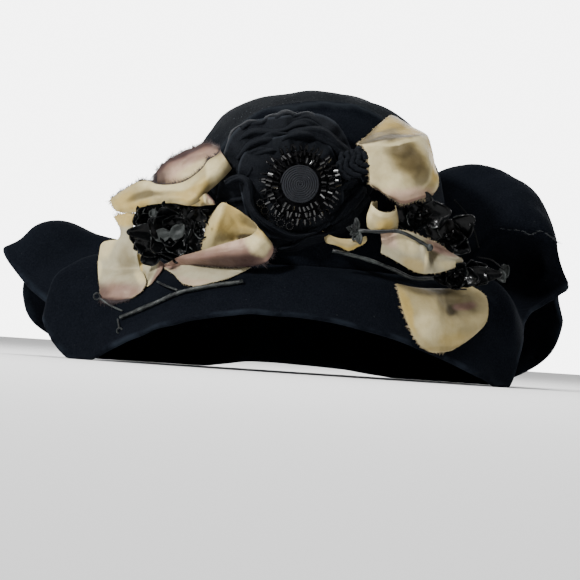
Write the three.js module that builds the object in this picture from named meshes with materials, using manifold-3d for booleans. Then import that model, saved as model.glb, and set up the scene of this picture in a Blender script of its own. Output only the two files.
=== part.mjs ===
// Wide-brim velvet hat with a chiffon rosette, satin loops and lacquered flowers.
// Millimetres. +Z up, the wearer's face looks towards -Y, the floor is Z = 0.
import * as THREE from 'three';
import { mergeVertices } from 'three/addons/utils/BufferGeometryUtils.js';
import Module from 'manifold-3d';

const wasm = await Module();
wasm.setup();

// ---------------------------------------------------------------- sizes
const FAIRNESS = 0.2;         // facets closer to flat than this are merged
const GAP = 0.3;              // clear space left between neighbouring pieces
const CLEAR = 0.55;           // a draped strip's stand-off from the faceted velvet
const STEEPEST = 0.3;         // least share of that stand-off taken along Y
const NOWHERE = 400;          // far outside the hat
const VELVET = 2.6;           // wall of the velvet over its foundation
const SATIN = 1.1;            // wall of a satin petal
const CHIFFON = 1.4;          // wall of a gathered chiffon ruffle
const LACQUER = 1.3;          // wall of a lacquered petal

const CROWN_A = 85;           // half width of the crown at its base
const CROWN_B = 98;           // half depth of the crown at its base
const CROWN_TOP = 176;        // height of the crown's top above the floor
const BASE_MID = 58;          // height of the crown's base over the ears
const BASE_TILT = 6;          // the base is this much higher in front, lower behind
const CROWN_POWER = 2.8;      // squareness of the crown's shoulders
const FOLD_Y = -52;           // plane of the fold that arches over the crown
const FOLD_STEP = 3.0;        // the velvet behind the fold stands this much proud
const FOLD_SOFT = 7;          // width over which the step rises

const CROWN_AROUND = 34;      // facets round the crown
const CROWN_UP = 8;           // rings up the crown
const BRIM_PER_SECTION = 3;   // facets between two brim sections
const BRIM_RINGS = [0, 2, 2.5, 3, 3.5, 4, 5]; // rings of facets, counted in table spans

const MID_X = 14.5;           // moves the middle of the hat over the origin
const MID_Y = -8.7;

// Brim sections, counted from +X round by +Y. Each runs out from the crown's
// edge through near, mid and far to the rim. swing turns the rim about the
// crown, tuck turns the near, mid and far points only.
const BRIM = [
  { at: 2, swing: 0, tuck: 0, nearR: 102, nearZ: 64, midR: 122, midZ: 57, farR: 142, farZ: 53, rimR: 156, rimZ: 60 },
  { at: 7, swing: 1, tuck: 9, nearR: 103, nearZ: 72, midR: 124, midZ: 75, farR: 148, farZ: 76, rimR: 166, rimZ: 67 },
  { at: 12, swing: -3, tuck: -5, nearR: 104, nearZ: 84, midR: 127, midZ: 103, farR: 149, farZ: 97, rimR: 165, rimZ: 70 },
  { at: 19, swing: -5, tuck: -2, nearR: 104, nearZ: 102, midR: 136, midZ: 123, farR: 157, farZ: 102, rimR: 163, rimZ: 60 },
  { at: 28, swing: -6, tuck: -1, nearR: 105, nearZ: 122, midR: 139, midZ: 134, farR: 161, farZ: 106, rimR: 177, rimZ: 42 },
  { at: 38, swing: -9, tuck: -1, nearR: 105, nearZ: 134, midR: 135, midZ: 140, farR: 158, farZ: 100, rimR: 180, rimZ: 20 },
  { at: 50, swing: -4, tuck: 0, nearR: 105, nearZ: 126, midR: 126, midZ: 128, farR: 148, farZ: 80, rimR: 169, rimZ: -1 },
  { at: 62, swing: 0, tuck: 0, nearR: 107, nearZ: 92, midR: 123, midZ: 90, farR: 145, farZ: 52, rimR: 170, rimZ: -1 },
  { at: 79, swing: 0, tuck: 0, nearR: 109, nearZ: 58, midR: 126, midZ: 52, farR: 143, farZ: 35, rimR: 157, rimZ: 5 },
  { at: 101, swing: 0, tuck: 0, nearR: 109, nearZ: 54, midR: 127, midZ: 47, farR: 144, farZ: 32, rimR: 157, rimZ: 6 },
  { at: 121, swing: 0, tuck: 0, nearR: 106, nearZ: 58, midR: 129, midZ: 54, farR: 152, farZ: 34, rimR: 170, rimZ: -1 },
  { at: 136, swing: 0, tuck: 0, nearR: 104, nearZ: 61, midR: 131, midZ: 58, farR: 158, farZ: 38, rimR: 180, rimZ: -1 },
  { at: 151, swing: 2, tuck: 0, nearR: 103, nearZ: 65, midR: 136, midZ: 64, farR: 170, farZ: 46, rimR: 197, rimZ: 20 },
  { at: 161, swing: -1, tuck: 0, nearR: 103, nearZ: 68, midR: 138, midZ: 74, farR: 170, farZ: 62, rimR: 195, rimZ: 36 },
  { at: 169, swing: 1, tuck: 0, nearR: 103, nearZ: 70, midR: 138, midZ: 79, farR: 168, farZ: 84, rimR: 184, rimZ: 66 },
  { at: 177, swing: 0, tuck: 0, nearR: 103, nearZ: 70, midR: 136, midZ: 75, farR: 170, farZ: 80, rimR: 194, rimZ: 66 },
  { at: 185, swing: 0, tuck: 0, nearR: 103, nearZ: 67, midR: 128, midZ: 61, farR: 152, farZ: 54, rimR: 176, rimZ: 44 },
  { at: 192, swing: 0, tuck: 0, nearR: 104, nearZ: 65, midR: 130, midZ: 58, farR: 148, farZ: 48, rimR: 163, rimZ: 32 },
  { at: 198, swing: 0, tuck: 0, nearR: 105, nearZ: 66, midR: 138, midZ: 65, farR: 165, farZ: 48, rimR: 170, rimZ: 22 },
  { at: 208, swing: 0, tuck: 0, nearR: 106, nearZ: 65, midR: 132, midZ: 56, farR: 150, farZ: 34, rimR: 159, rimZ: -1 },
  { at: 222, swing: 0, tuck: 0, nearR: 107, nearZ: 63, midR: 124, midZ: 53, farR: 139, farZ: 34, rimR: 151, rimZ: 11 },
  { at: 236, swing: 0, tuck: 0, nearR: 108, nearZ: 62, midR: 122, midZ: 53, farR: 135, farZ: 40, rimR: 147, rimZ: 25 },
  { at: 252, swing: 0, tuck: 0, nearR: 108, nearZ: 62, midR: 119, midZ: 56, farR: 131, farZ: 45, rimR: 142, rimZ: 33 },
  { at: 270, swing: 0, tuck: 0, nearR: 108, nearZ: 63, midR: 118, midZ: 57, farR: 128, farZ: 46, rimR: 137, rimZ: 35 },
  { at: 288, swing: 0, tuck: 0, nearR: 107, nearZ: 62, midR: 117, midZ: 55, farR: 126, farZ: 42, rimR: 134, rimZ: 28 },
  { at: 304, swing: 0, tuck: 0, nearR: 106, nearZ: 62, midR: 118, midZ: 52, farR: 128, farZ: 35, rimR: 136, rimZ: 18 },
  { at: 319, swing: 0, tuck: 0, nearR: 105, nearZ: 63, midR: 121, midZ: 52, farR: 134, farZ: 30, rimR: 143, rimZ: 5 },
  { at: 330, swing: -2, tuck: 0, nearR: 104, nearZ: 65, midR: 124, midZ: 57, farR: 139, farZ: 34, rimR: 144, rimZ: -1 },
  { at: 341, swing: -6, tuck: -2, nearR: 103, nearZ: 67, midR: 124, midZ: 64, farR: 139, farZ: 50, rimR: 145, rimZ: 23 },
  { at: 352, swing: -1, tuck: 0, nearR: 102, nearZ: 63, midR: 119, midZ: 54, farR: 131, farZ: 47, rimR: 138, rimZ: 45 },
];

// The veil that carries the trimmings: a curve in plan before the crown, leaning
// back above the knee and falling behind the brim below the hem.
const VEIL = { front: -112, curve: 0.0034, knee: 100, lean: 0.35, hem: 66, tuck: 1.2 };

const ROSETTE = { x: -15.5, y: -99, z: 113, fall: 0.0075 };
const OUTER_RUFFLE = { inner: 13, outer: 46, uneven: 2.5, lobes: 5, stand: 2, depth: 6, wave: 3.2, folds: 9, swirl: 2.4, start: 0.6, around: 26, out: 3 };
const INNER_RUFFLE = { inner: 11, outer: 33, uneven: 2, lobes: 4, stand: 8, depth: 4, wave: 2.4, folds: 7, swirl: -2, start: 2, around: 20, out: 3 };
// The bead ring and its button sit a little right of the ruffles' middle.
const RING = { x: -9.9, z: 113.4 };
const BEADS = {
  disc: 20,
  discSides: 24,
  thick: 2.4,
  stand: 12.2,
  radius: 1.1,
  sides: 10,
  rows: [
    { count: 10, from: 12, to: 18, up: 0.9, shift: 0 },
    { count: 16, from: 18.6, to: 25, up: 0.2, shift: 0.5 },
  ],
};
const BUTTON = { radius: 11.5, high: 3.4, groove: 0.8, turns: 6, sides: 16, stand: 13.7 };

// Satin strips, a row for each cross fold: one edge, the other edge, the bow.
const UPPER_LEFT = [
  { x: -125, z: 99, lift: 4, x2: -121, z2: 92, lift2: 4, puff: 1 },
  { x: -111, z: 109, lift: 5, x2: -112, z2: 91, lift2: 9, puff: 3 },
  { x: -92, z: 110, lift: 8, x2: -96, z2: 95, lift2: 12, puff: 3 },
  { x: -76, z: 116, lift: 9, x2: -78, z2: 96, lift2: 12, puff: 3 },
  { x: -62, z: 122, lift: 6, x2: -62, z2: 101, lift2: 8, puff: 2 },
  { x: -54, z: 128, lift: 0, x2: -58, z2: 112, lift2: 1, puff: 1 },
  { x: -68, z: 136, lift: -4, x2: -66, z2: 117, lift2: -3, puff: -1 },
  { x: -86, z: 129, lift: -3, x2: -80, z2: 111, lift2: -2, puff: -2 },
  { x: -99, z: 116, lift: -1, x2: -97, z2: 109, lift2: -1, puff: 0 },
];
const HANGING_LEFT = [
  { x: -122, z: 91, lift: 4, x2: -111, z2: 92, lift2: 3, puff: 1 },
  { x: -119, z: 80, lift: 5, x2: -109, z2: 82, lift2: 4, puff: 1 },
  { x: -129, z: 70, lift: 4, x2: -99, z2: 68, lift2: 3, puff: 3 },
  { x: -129, z: 55, lift: 3, x2: -91, z2: 61, lift2: 2.5, puff: 3 },
  { x: -127, z: 40, lift: 2, x2: -98, z2: 47, lift2: 2, puff: 1 },
];
const CENTRE_LEFT = [
  { x: -88, z: 62, lift: 5, x2: -86, z2: 60, lift2: 5, puff: 0.5 },
  { x: -73, z: 68, lift: 9, x2: -73, z2: 59, lift2: 9, puff: 1 },
  { x: -58, z: 72, lift: 12, x2: -57, z2: 61, lift2: 12, puff: 1.5 },
  { x: -42, z: 79, lift: 13, x2: -39, z2: 63, lift2: 13, puff: 2 },
  { x: -30, z: 85, lift: 11, x2: -24, z2: 75, lift2: 11, puff: 1 },
  { x: -36, z: 89, lift: 6, x2: -30, z2: 79, lift2: 6, puff: -1 },
  { x: -48, z: 96, lift: 5, x2: -46, z2: 75, lift2: 3, puff: -4 },
  { x: -57, z: 99, lift: 4, x2: -60, z2: 71, lift2: 3, puff: -4 },
  { x: -62, z: 88, lift: 3, x2: -67, z2: 71, lift2: 3, puff: -1 },
];
const LEAF_LEFT = [
  { x: -90, z: 61, lift: 3, x2: -87, z2: 58, lift2: 2.5, puff: 0 },
  { x: -77, z: 62, lift: 4.5, x2: -75, z2: 50, lift2: 2.5, puff: 2 },
  { x: -60, z: 61, lift: 4.5, x2: -59, z2: 51, lift2: 2.5, puff: 2 },
  { x: -45, z: 63, lift: 4.5, x2: -43, z2: 57, lift2: 2.5, puff: 1.5 },
  { x: -37, z: 64, lift: 3.5, x2: -35, z2: 61, lift2: 3, puff: 0 },
];
const UPPER_RIGHT = [
  { x: 34, z: 117, lift: 2, x2: 54, z2: 106, lift2: 2, puff: 1 },
  { x: 30, z: 127, lift: 3, x2: 70, z2: 113, lift2: 2, puff: 3 },
  { x: 27, z: 140, lift: 2, x2: 73, z2: 128, lift2: -4, puff: 3 },
  { x: 26, z: 145, lift: -4, x2: 70, z2: 143, lift2: -14, puff: 2 },
  { x: 35, z: 155, lift: -14, x2: 65, z2: 153, lift2: -26, puff: 0 },
  { x: 43, z: 163, lift: -28, x2: 58, z2: 158, lift2: -34, puff: 0 },
];
const MIDDLE_RIGHT = [
  { x: 40, z: 88, lift: 5, x2: 41, z2: 77, lift2: 5, puff: 1 },
  { x: 52, z: 90, lift: 8, x2: 51, z2: 71, lift2: 8, puff: 3 },
  { x: 64, z: 89, lift: 9, x2: 62, z2: 67, lift2: 8, puff: 3 },
  { x: 77, z: 83, lift: 7, x2: 75, z2: 67, lift2: 6, puff: 2 },
  { x: 91, z: 76, lift: 3, x2: 90, z2: 73, lift2: 3, puff: 0 },
];
const CURL_RIGHT = [
  { x: 37, z: 93, lift: -3, x2: 36, z2: 106, lift2: -1, puff: 0 },
  { x: 31, z: 89, lift: 1, x2: 31, z2: 103, lift2: 3, puff: 0 },
  { x: 34, z: 86, lift: 6, x2: 34, z2: 99, lift2: 7, puff: 0 },
  { x: 41, z: 84, lift: 8, x2: 41, z2: 98, lift2: 9, puff: 0 },
  { x: 48, z: 88, lift: 5, x2: 47, z2: 101, lift2: 6, puff: 0 },
  { x: 49, z: 94, lift: -1, x2: 48, z2: 105, lift2: 1, puff: 0 },
];
const KNOT = [
  { x: 16, z: 128, lift: -10, x2: 25, z2: 141, lift2: -10, puff: 1 },
  { x: 20, z: 125, lift: -4, x2: 29, z2: 138, lift2: -5, puff: 2 },
  { x: 22, z: 124, lift: -6, x2: 31, z2: 136, lift2: -7, puff: 1.5 },
  { x: 24, z: 122, lift: -3, x2: 33, z2: 134, lift2: -4, puff: 2 },
  { x: 26, z: 121, lift: -5, x2: 34, z2: 132, lift2: -6, puff: 1.5 },
  { x: 28, z: 118, lift: -6, x2: 36, z2: 126, lift2: -6, puff: 1 },
];
const TAB_RIGHT = [
  { x: 5, z: 87, lift: -12, x2: 8, z2: 80, lift2: -10, puff: 0 },
  { x: 14, z: 84, lift: -3, x2: 15, z2: 80, lift2: -3, puff: 0 },
  { x: 23, z: 83, lift: 3.5, x2: 23, z2: 78, lift2: 4, puff: 1 },
  { x: 31, z: 85, lift: 3, x2: 31, z2: 80, lift2: 3, puff: 0 },
];
const ROUND_RIGHT = [
  { x: 55, z: 60, lift: 1.5, x2: 98, z2: 63, lift2: 3, puff: 3 },
  { x: 54, z: 49, lift: 1.5, x2: 109, z2: 54, lift2: 4, puff: 5 },
  { x: 60, z: 36, lift: 1.5, x2: 108, z2: 44, lift2: 5, puff: 5 },
  { x: 66, z: 26, lift: 1.5, x2: 98, z2: 31, lift2: 4, puff: 3 },
  { x: 73, z: 20, lift: 2, x2: 88, z2: 22, lift2: 3, puff: 0.5 },
];

// Lacquered flowers: an eye and petals set round it.
const ROOT = { radius: 1.1, into: 1 };
const PETAL_FACETS = { along: 2, across: 2 };
const SEPAL_FACETS = { along: 2, across: 1 };
const FLOWERS_LEFT = [
  {
    x: -86, z: 80, lift: 4, eye: 4, rootX: -82, rootZ: 62,
    petals: [
      { turn: 25, lean: 20, long: 18, wide: 18, cup: 4 },
      { turn: 110, lean: 20, long: 18, wide: 18, cup: 4 },
      { turn: 183, lean: 6, long: 27, wide: 11, cup: 2 },
      { turn: 230, lean: 15, long: 17, wide: 16, cup: 4 },
      { turn: 305, lean: 20, long: 18, wide: 16, cup: 4 },
    ],
  },
  {
    x: -71, z: 84, lift: 1, eye: 3, rootX: -68, rootZ: 78,
    petals: [
      { turn: 40, lean: 5, long: 16, wide: 15, cup: 3 },
      { turn: 120, lean: 5, long: 14, wide: 14, cup: 3 },
      { turn: 290, lean: 5, long: 18, wide: 16, cup: 3 },
    ],
  },
];
const FLOWERS_RIGHT = [
  {
    x: 63, z: 99, lift: -9, eye: 4, rootX: 60, rootZ: 94,
    petals: [
      { turn: 15, lean: 15, long: 21, wide: 18, cup: 4 },
      { turn: 75, lean: 10, long: 17, wide: 17, cup: 4 },
      { turn: 185, lean: 15, long: 18, wide: 15, cup: 4 },
    ],
  },
  {
    x: 82, z: 88, lift: -7, eye: 3, rootX: 74, rootZ: 84,
    petals: [
      { turn: 148, lean: 20, long: 21, wide: 12, cup: 1 },
      { turn: 45, lean: 10, long: 21, wide: 16, cup: 4 },
      { turn: 330, lean: 20, long: 17, wide: 14, cup: 4 },
      { turn: 250, lean: 20, long: 13, wide: 13, cup: 3 },
    ],
  },
];
const FLOWERS_LOWER = [
  {
    x: 88, z: 66, lift: 1, eye: 3.5, rootX: 84, rootZ: 56,
    petals: [
      { turn: 190, lean: 20, long: 16, wide: 12, cup: 4 },
      { turn: 270, lean: 30, long: 12, wide: 13, cup: 4 },
      { turn: 350, lean: 25, long: 17, wide: 12, cup: 4 },
      { turn: 5, lean: -5, long: 28, wide: 10, cup: 3 },
    ],
  },
];

// The green cup at the root of a stem: four narrow crossed sepals.
const CALYX = {
  eye: 2,
  rootX: 22,
  rootZ: 80,
  petals: [
    { turn: 100, lean: 10, long: 7, wide: 4, cup: 1 },
    { turn: 170, lean: 10, long: 7, wide: 4, cup: 1 },
    { turn: 235, lean: 10, long: 6, wide: 4, cup: 1 },
    { turn: 285, lean: 10, long: 9, wide: 4, cup: 1 },
  ],
};

// Wire stems; tip is a ball on the far end, eye a wire ring on the near one.
const STEMS = [
  {
    name: 'stem_upper_right', radius: 1.3, tip: 2.6, calyx: true,
    path: [
      { x: 26, z: 88, lift: 6 }, { x: 38, z: 88, lift: 11 }, { x: 51, z: 89, lift: 11.5 },
      { x: 62, z: 85, lift: 12.5 }, { x: 70, z: 81, lift: 11 },
    ],
  },
  {
    name: 'stem_lower_right', radius: 1.3,
    path: [
      { x: 12, z: 75, lift: 3 }, { x: 34, z: 71, lift: 4 }, { x: 50, z: 66, lift: 5 },
      { x: 62, z: 62, lift: 6 }, { x: 74, z: 63, lift: 7 },
    ],
  },
  {
    name: 'stem_long_left', radius: 1.4,
    path: [
      { x: -113, z: 27, lift: 2 }, { x: -94, z: 36, lift: 2 }, { x: -78, z: 44, lift: 1.6 },
      { x: -62, z: 48.5, lift: 1.6 }, { x: -40, z: 53, lift: 1.6 },
    ],
  },
  {
    name: 'wire_eye_left', radius: 0.6, eye: 1.9,
    path: [
      { x: -127, z: 38, lift: 3.6 }, { x: -120, z: 34, lift: 2 }, { x: -112, z: 31, lift: 1.2 },
    ],
  },
  {
    name: 'wire_drop_left', radius: 0.5, eye: 1.6,
    path: [
      { x: -113, z: 20.5, lift: 2.2 }, { x: -114.5, z: 26, lift: 2.4 },
    ],
  },
  {
    name: 'wire_short_left', radius: 0.7,
    path: [
      { x: -92, z: 50, lift: 4.4 }, { x: -86, z: 47.5, lift: 4.2 }, { x: -79, z: 45.5, lift: 4 },
    ],
  },
];

// ---------------------------------------------------------------- helpers
const TAU = Math.PI * 2;
const rad = (deg) => THREE.MathUtils.degToRad(deg);
const V = (x, y, z) => new THREE.Vector3(x, y, z);

function smoothstep(from, to, value) {
  return THREE.MathUtils.smoothstep(value, from, to);
}

// Radius of the crown's base ellipse at an angle.
function baseRadius(angle, extra = 0) {
  const a = CROWN_A + extra;
  const b = CROWN_B + extra;
  return (a * b) / Math.hypot(b * Math.cos(angle), a * Math.sin(angle));
}

function baseHeight(angle) {
  return BASE_MID - BASE_TILT * Math.sin(angle);
}

// A manifold from rows of faces given as vertex numbers.
function solidOf(points, faces) {
  const vertProperties = new Float32Array(points.length * 3);
  points.forEach((p, i) => p.toArray(vertProperties, i * 3));
  const triVerts = new Uint32Array(faces.flat());
  const mesh = new wasm.Mesh({ numProp: 3, vertProperties, triVerts });
  mesh.merge();
  const solid = new wasm.Manifold(mesh);
  return solid;
}

function solidOfGeometry(geometry) {
  const bare = new THREE.BufferGeometry();
  bare.setAttribute('position', geometry.getAttribute('position'));
  if (geometry.index) bare.setIndex(geometry.index);
  const merged = mergeVertices(bare, 1e-4);
  const position = merged.getAttribute('position');
  const points = [];
  for (let i = 0; i < position.count; i++) points.push(V().fromBufferAttribute(position, i));
  const faces = [];
  for (let i = 0; i < merged.index.count; i += 3) {
    const face = [merged.index.getX(i), merged.index.getX(i + 1), merged.index.getX(i + 2)];
    if (new Set(face).size === 3) faces.push(face);
  }
  return solidOf(points, faces);
}

// Normals of a grid of points, grid[i][j]; around closes it in i.
function gridNormals(grid, around) {
  const rows = grid.length;
  const cols = grid[0].length;
  return grid.map((row, i) => row.map((p, j) => {
    const before = around ? grid[(i + rows - 1) % rows][j] : grid[Math.max(i - 1, 0)][j];
    const after = around ? grid[(i + 1) % rows][j] : grid[Math.min(i + 1, rows - 1)][j];
    const inner = row[Math.max(j - 1, 0)];
    const outer = row[Math.min(j + 1, cols - 1)];
    const along = after.clone().sub(before);
    const across = outer.clone().sub(inner);
    return across.cross(along).normalize();
  }));
}

// A closed wall of even thickness about a grid of points. The faces look
// outwards whichever way the grid is numbered.
function wall(grid, thickness, { around = false, grow = 0, edgeNormal = null } = {}) {
  const rows = grid.length;
  const cols = grid[0].length;
  const normals = gridNormals(grid, around);
  if (edgeNormal) normals.forEach((row) => row[0].copy(edgeNormal));
  const half = thickness / 2 + grow;
  const points = [];
  const spot = (p, i, j) => {
    const q = p.clone();
    if (grow > 0) {
      if (j === 0) q.add(p.clone().sub(grid[i][1]).setLength(grow));
      if (j === cols - 1) q.add(p.clone().sub(grid[i][cols - 2]).setLength(grow));
      if (!around && i === 0) q.add(p.clone().sub(grid[1][j]).setLength(grow));
      if (!around && i === rows - 1) q.add(p.clone().sub(grid[rows - 2][j]).setLength(grow));
    }
    return q;
  };
  for (const side of [1, -1]) {
    grid.forEach((row, i) => row.forEach((p, j) => {
      points.push(spot(p, i, j).addScaledVector(normals[i][j], side * half));
    }));
  }
  const id = (side, i, j) => side * rows * cols + (i % rows) * cols + j;
  const faces = [];
  const quad = (a, b, c, d) => faces.push([a, b, c], [a, c, d]);
  const spans = around ? rows : rows - 1;
  for (let i = 0; i < spans; i++) {
    for (let j = 0; j < cols - 1; j++) {
      quad(id(0, i, j), id(0, i, j + 1), id(0, i + 1, j + 1), id(0, i + 1, j));
      quad(id(1, i, j), id(1, i + 1, j), id(1, i + 1, j + 1), id(1, i, j + 1));
    }
    quad(id(0, i, 0), id(0, i + 1, 0), id(1, i + 1, 0), id(1, i, 0));
    quad(id(0, i + 1, cols - 1), id(0, i, cols - 1), id(1, i, cols - 1), id(1, i + 1, cols - 1));
  }
  if (!around) {
    for (let j = 0; j < cols - 1; j++) {
      quad(id(0, 0, j + 1), id(0, 0, j), id(1, 0, j), id(1, 0, j + 1));
      quad(id(0, rows - 1, j), id(0, rows - 1, j + 1), id(1, rows - 1, j + 1), id(1, rows - 1, j));
    }
  }
  return solidOf(points, faces);
}

// ---------------------------------------------------------------- crown
// A point on the crown's mid surface; rise runs from 0 at the base to 1 on top.
function crownPoint(angle, rise, inset) {
  const turn = rise * Math.PI / 2;
  const outwards = Math.pow(Math.cos(turn), 2 / CROWN_POWER);
  const upwards = Math.pow(Math.sin(turn), 2 / CROWN_POWER);
  const bottom = baseHeight(angle);
  const radius = baseRadius(angle, -inset) * outwards;
  const point = V(radius * Math.cos(angle), radius * Math.sin(angle), bottom + (CROWN_TOP - inset - bottom) * upwards);
  const proud = FOLD_STEP * (smoothstep(FOLD_Y - FOLD_SOFT, FOLD_Y, point.y) - 1) * smoothstep(0.12, 0.3, rise);
  const outward = V(point.x / CROWN_A, point.y / CROWN_B, Math.max(0, point.z - BASE_MID) / CROWN_TOP).normalize();
  return point.addScaledVector(outward, proud);
}

// Two skins from the base to a single point on top, joined along the base.
function crownSolid(grow, filled) {
  const skins = filled ? [-grow] : [-grow, VELVET + grow];
  const points = [];
  const faces = [];
  const rises = [];
  for (let j = 0; j < CROWN_UP; j++) {
    const t = j / CROWN_UP;
    rises.push(0.55 * t + 0.45 * t * t);
  }
  const drop = (p, j, inset) => (j === 0 ? p.setZ(p.z - 3 - (inset < 0 ? -inset : 0)) : p);
  skins.forEach((inset) => {
    rises.forEach((rise, j) => {
      for (let i = 0; i < CROWN_AROUND; i++) points.push(drop(crownPoint(TAU * i / CROWN_AROUND, rise, inset), j, inset));
    });
    points.push(V(0, 0, CROWN_TOP - inset));
  });
  const stride = CROWN_UP * CROWN_AROUND + 1;
  const id = (skin, j, i) => skin * stride + j * CROWN_AROUND + (i % CROWN_AROUND);
  const add = (skin, a, b, c) => faces.push(skin === 0 ? [a, b, c] : [a, c, b]);
  skins.forEach((_, skin) => {
    for (let i = 0; i < CROWN_AROUND; i++) {
      for (let j = 0; j < CROWN_UP - 1; j++) {
        add(skin, id(skin, j, i), id(skin, j, i + 1), id(skin, j + 1, i + 1));
        add(skin, id(skin, j, i), id(skin, j + 1, i + 1), id(skin, j + 1, i));
      }
      add(skin, id(skin, CROWN_UP - 1, i), id(skin, CROWN_UP - 1, i + 1), skin * stride + stride - 1);
    }
  });
  for (let i = 0; i < CROWN_AROUND; i++) {
    if (filled) {
      if (i > 0 && i < CROWN_AROUND - 1) faces.push([id(0, 0, 0), id(0, 0, i + 1), id(0, 0, i)]);
    } else {
      faces.push([id(0, 0, i), id(1, 0, i), id(1, 0, i + 1)], [id(0, 0, i), id(1, 0, i + 1), id(0, 0, i + 1)]);
    }
  }
  return solidOf(points, faces);
}

// ---------------------------------------------------------------- brim
function brimGrid() {
  const spans = ['near', 'mid', 'far'];
  const lines = [];
  const start = (row, extra) => {
    const angle = rad(row.at);
    const r = baseRadius(angle, GAP + extra);
    return V(r * Math.cos(angle), r * Math.sin(angle), baseHeight(angle));
  };
  lines.push(BRIM.map((row) => start(row, 0)));
  lines.push(BRIM.map((row) => start(row, 4)));
  spans.forEach((name) => {
    lines.push(BRIM.map((row) => {
      const share = (row[`${name}R`] - CROWN_B) / (row.rimR - CROWN_B);
      const angle = rad(row.at + row.swing * Math.max(0, share) + row.tuck);
      return V(row[`${name}R`] * Math.cos(angle), row[`${name}R`] * Math.sin(angle), row[`${name}Z`]);
    }));
  });
  lines.push(BRIM.map((row) => {
    const angle = rad(row.at + row.swing);
    return V(row.rimR * Math.cos(angle), row.rimR * Math.sin(angle), row.rimZ);
  }));
  const curves = lines.map((line) => new THREE.CatmullRomCurve3(line, true, 'centripetal'));
  const count = BRIM.length * BRIM_PER_SECTION;
  const grid = [];
  for (let i = 0; i < count; i++) {
    const across = new THREE.CatmullRomCurve3(curves.map((c) => c.getPoint(i / count)), false, 'centripetal');
    const row = [];
    for (const ring of BRIM_RINGS) row.push(across.getPoint(ring / BRIM_RINGS.at(-1)));
    // The inner edge follows the ellipse of the crown exactly.
    const angle = Math.atan2(row[0].y, row[0].x);
    const r = baseRadius(angle, GAP);
    row[0].set(r * Math.cos(angle), r * Math.sin(angle), baseHeight(angle));
    grid.push(row);
  }
  return grid;
}

function brimSolid(grow) {
  const sheet = wall(brimGrid(), VELVET, { around: true, grow, edgeNormal: V(0, 0, 1) });
  const floor = new THREE.BoxGeometry(600, 600, 60);
  floor.translate(0, 0, -30);
  return sheet.subtract(solidOfGeometry(floor));
}

// ---------------------------------------------------------------- trimmings
const toFront = new THREE.Raycaster();
const carriers = [];

// The trimmings lie on a veil: a shallow curve before the crown, and the
// velvet itself wherever that stands further forward. lift is measured from it.
function onVeil(x, z, lift) {
  const hang = Math.max(0, z - VEIL.knee) * VEIL.lean + Math.max(0, VEIL.hem - z) * VEIL.tuck;
  return V(x, Math.min(VEIL.front + VEIL.curve * x * x + hang, velvetFront(x, z)) - lift, z);
}

// The y that is stand off the velvet's front at x, z; far behind where there is none.
function velvetFront(x, z, stand = 0) {
  toFront.set(V(x + MID_X, -NOWHERE, z), V(0, 1, 0));
  const [hit] = toFront.intersectObjects(carriers);
  if (!hit) return NOWHERE;
  return hit.point.y - MID_Y - stand / Math.max(STEEPEST, Math.abs(hit.face.normal.y));
}

// A strip of cloth lofted through rows: one edge at x, z, lift and the other at
// x2, z2, lift2, bowed by puff between them.
function ribbon(rows, thickness, { along = 2, across = 4 } = {}) {
  const edge = rows.map((r) => onVeil(r.x, r.z, r.lift));
  const other = rows.map((r) => onVeil(r.x2, r.z2, r.lift2));
  const puffs = new THREE.CatmullRomCurve3(rows.map((r) => V(r.puff, 0, 0)), false, 'centripetal');
  const one = new THREE.CatmullRomCurve3(edge, false, 'centripetal');
  const two = new THREE.CatmullRomCurve3(other, false, 'centripetal');
  const count = (rows.length - 1) * along;
  const ends = [];
  for (let i = 0; i <= count; i++) ends.push([one.getPoint(i / count), two.getPoint(i / count)]);
  const grid = ends.map(([a, b], i) => {
    const after = ends[Math.min(i + 1, count)];
    const before = ends[Math.max(i - 1, 0)];
    const run = after[0].clone().add(after[1]).sub(before[0]).sub(before[1]);
    const bow = run.cross(b.clone().sub(a)).normalize();
    const puff = puffs.getPoint(i / count).x;
    const row = [];
    for (let j = 0; j <= across; j++) {
      const t = j / across;
      const p = a.clone().lerp(b, t).addScaledVector(bow, puff * Math.sin(Math.PI * t));
      p.y = Math.min(p.y, velvetFront(p.x, p.z, thickness / 2 + CLEAR));
      row.push(p);
    }
    return row;
  });
  return (grow) => wall(grid, thickness, { grow });
}

// A gathered ring of chiffon about the rosette's middle. Its folds swirl.
function ruffle(ring) {
  const grid = [];
  for (let i = 0; i < ring.around; i++) {
    const angle = TAU * i / ring.around;
    const row = [];
    for (let j = 0; j <= ring.out; j++) {
      const t = j / ring.out;
      const fold = Math.cos(ring.folds * angle + ring.swirl * t + ring.start);
      const slow = Math.cos(ring.lobes * angle + ring.start);
      const r = ring.inner + (ring.outer + ring.uneven * slow - ring.inner) * t;
      const y = ROSETTE.y - ring.stand + ROSETTE.fall * r * r - ring.depth * Math.sin(Math.PI * t * 0.8) - ring.wave * t * fold;
      row.push(V(ROSETTE.x + r * Math.cos(angle), y, ROSETTE.z + r * Math.sin(angle)));
    }
    grid.push(row);
  }
  return (grow) => wall(grid, CHIFFON, { around: true, grow });
}

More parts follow.
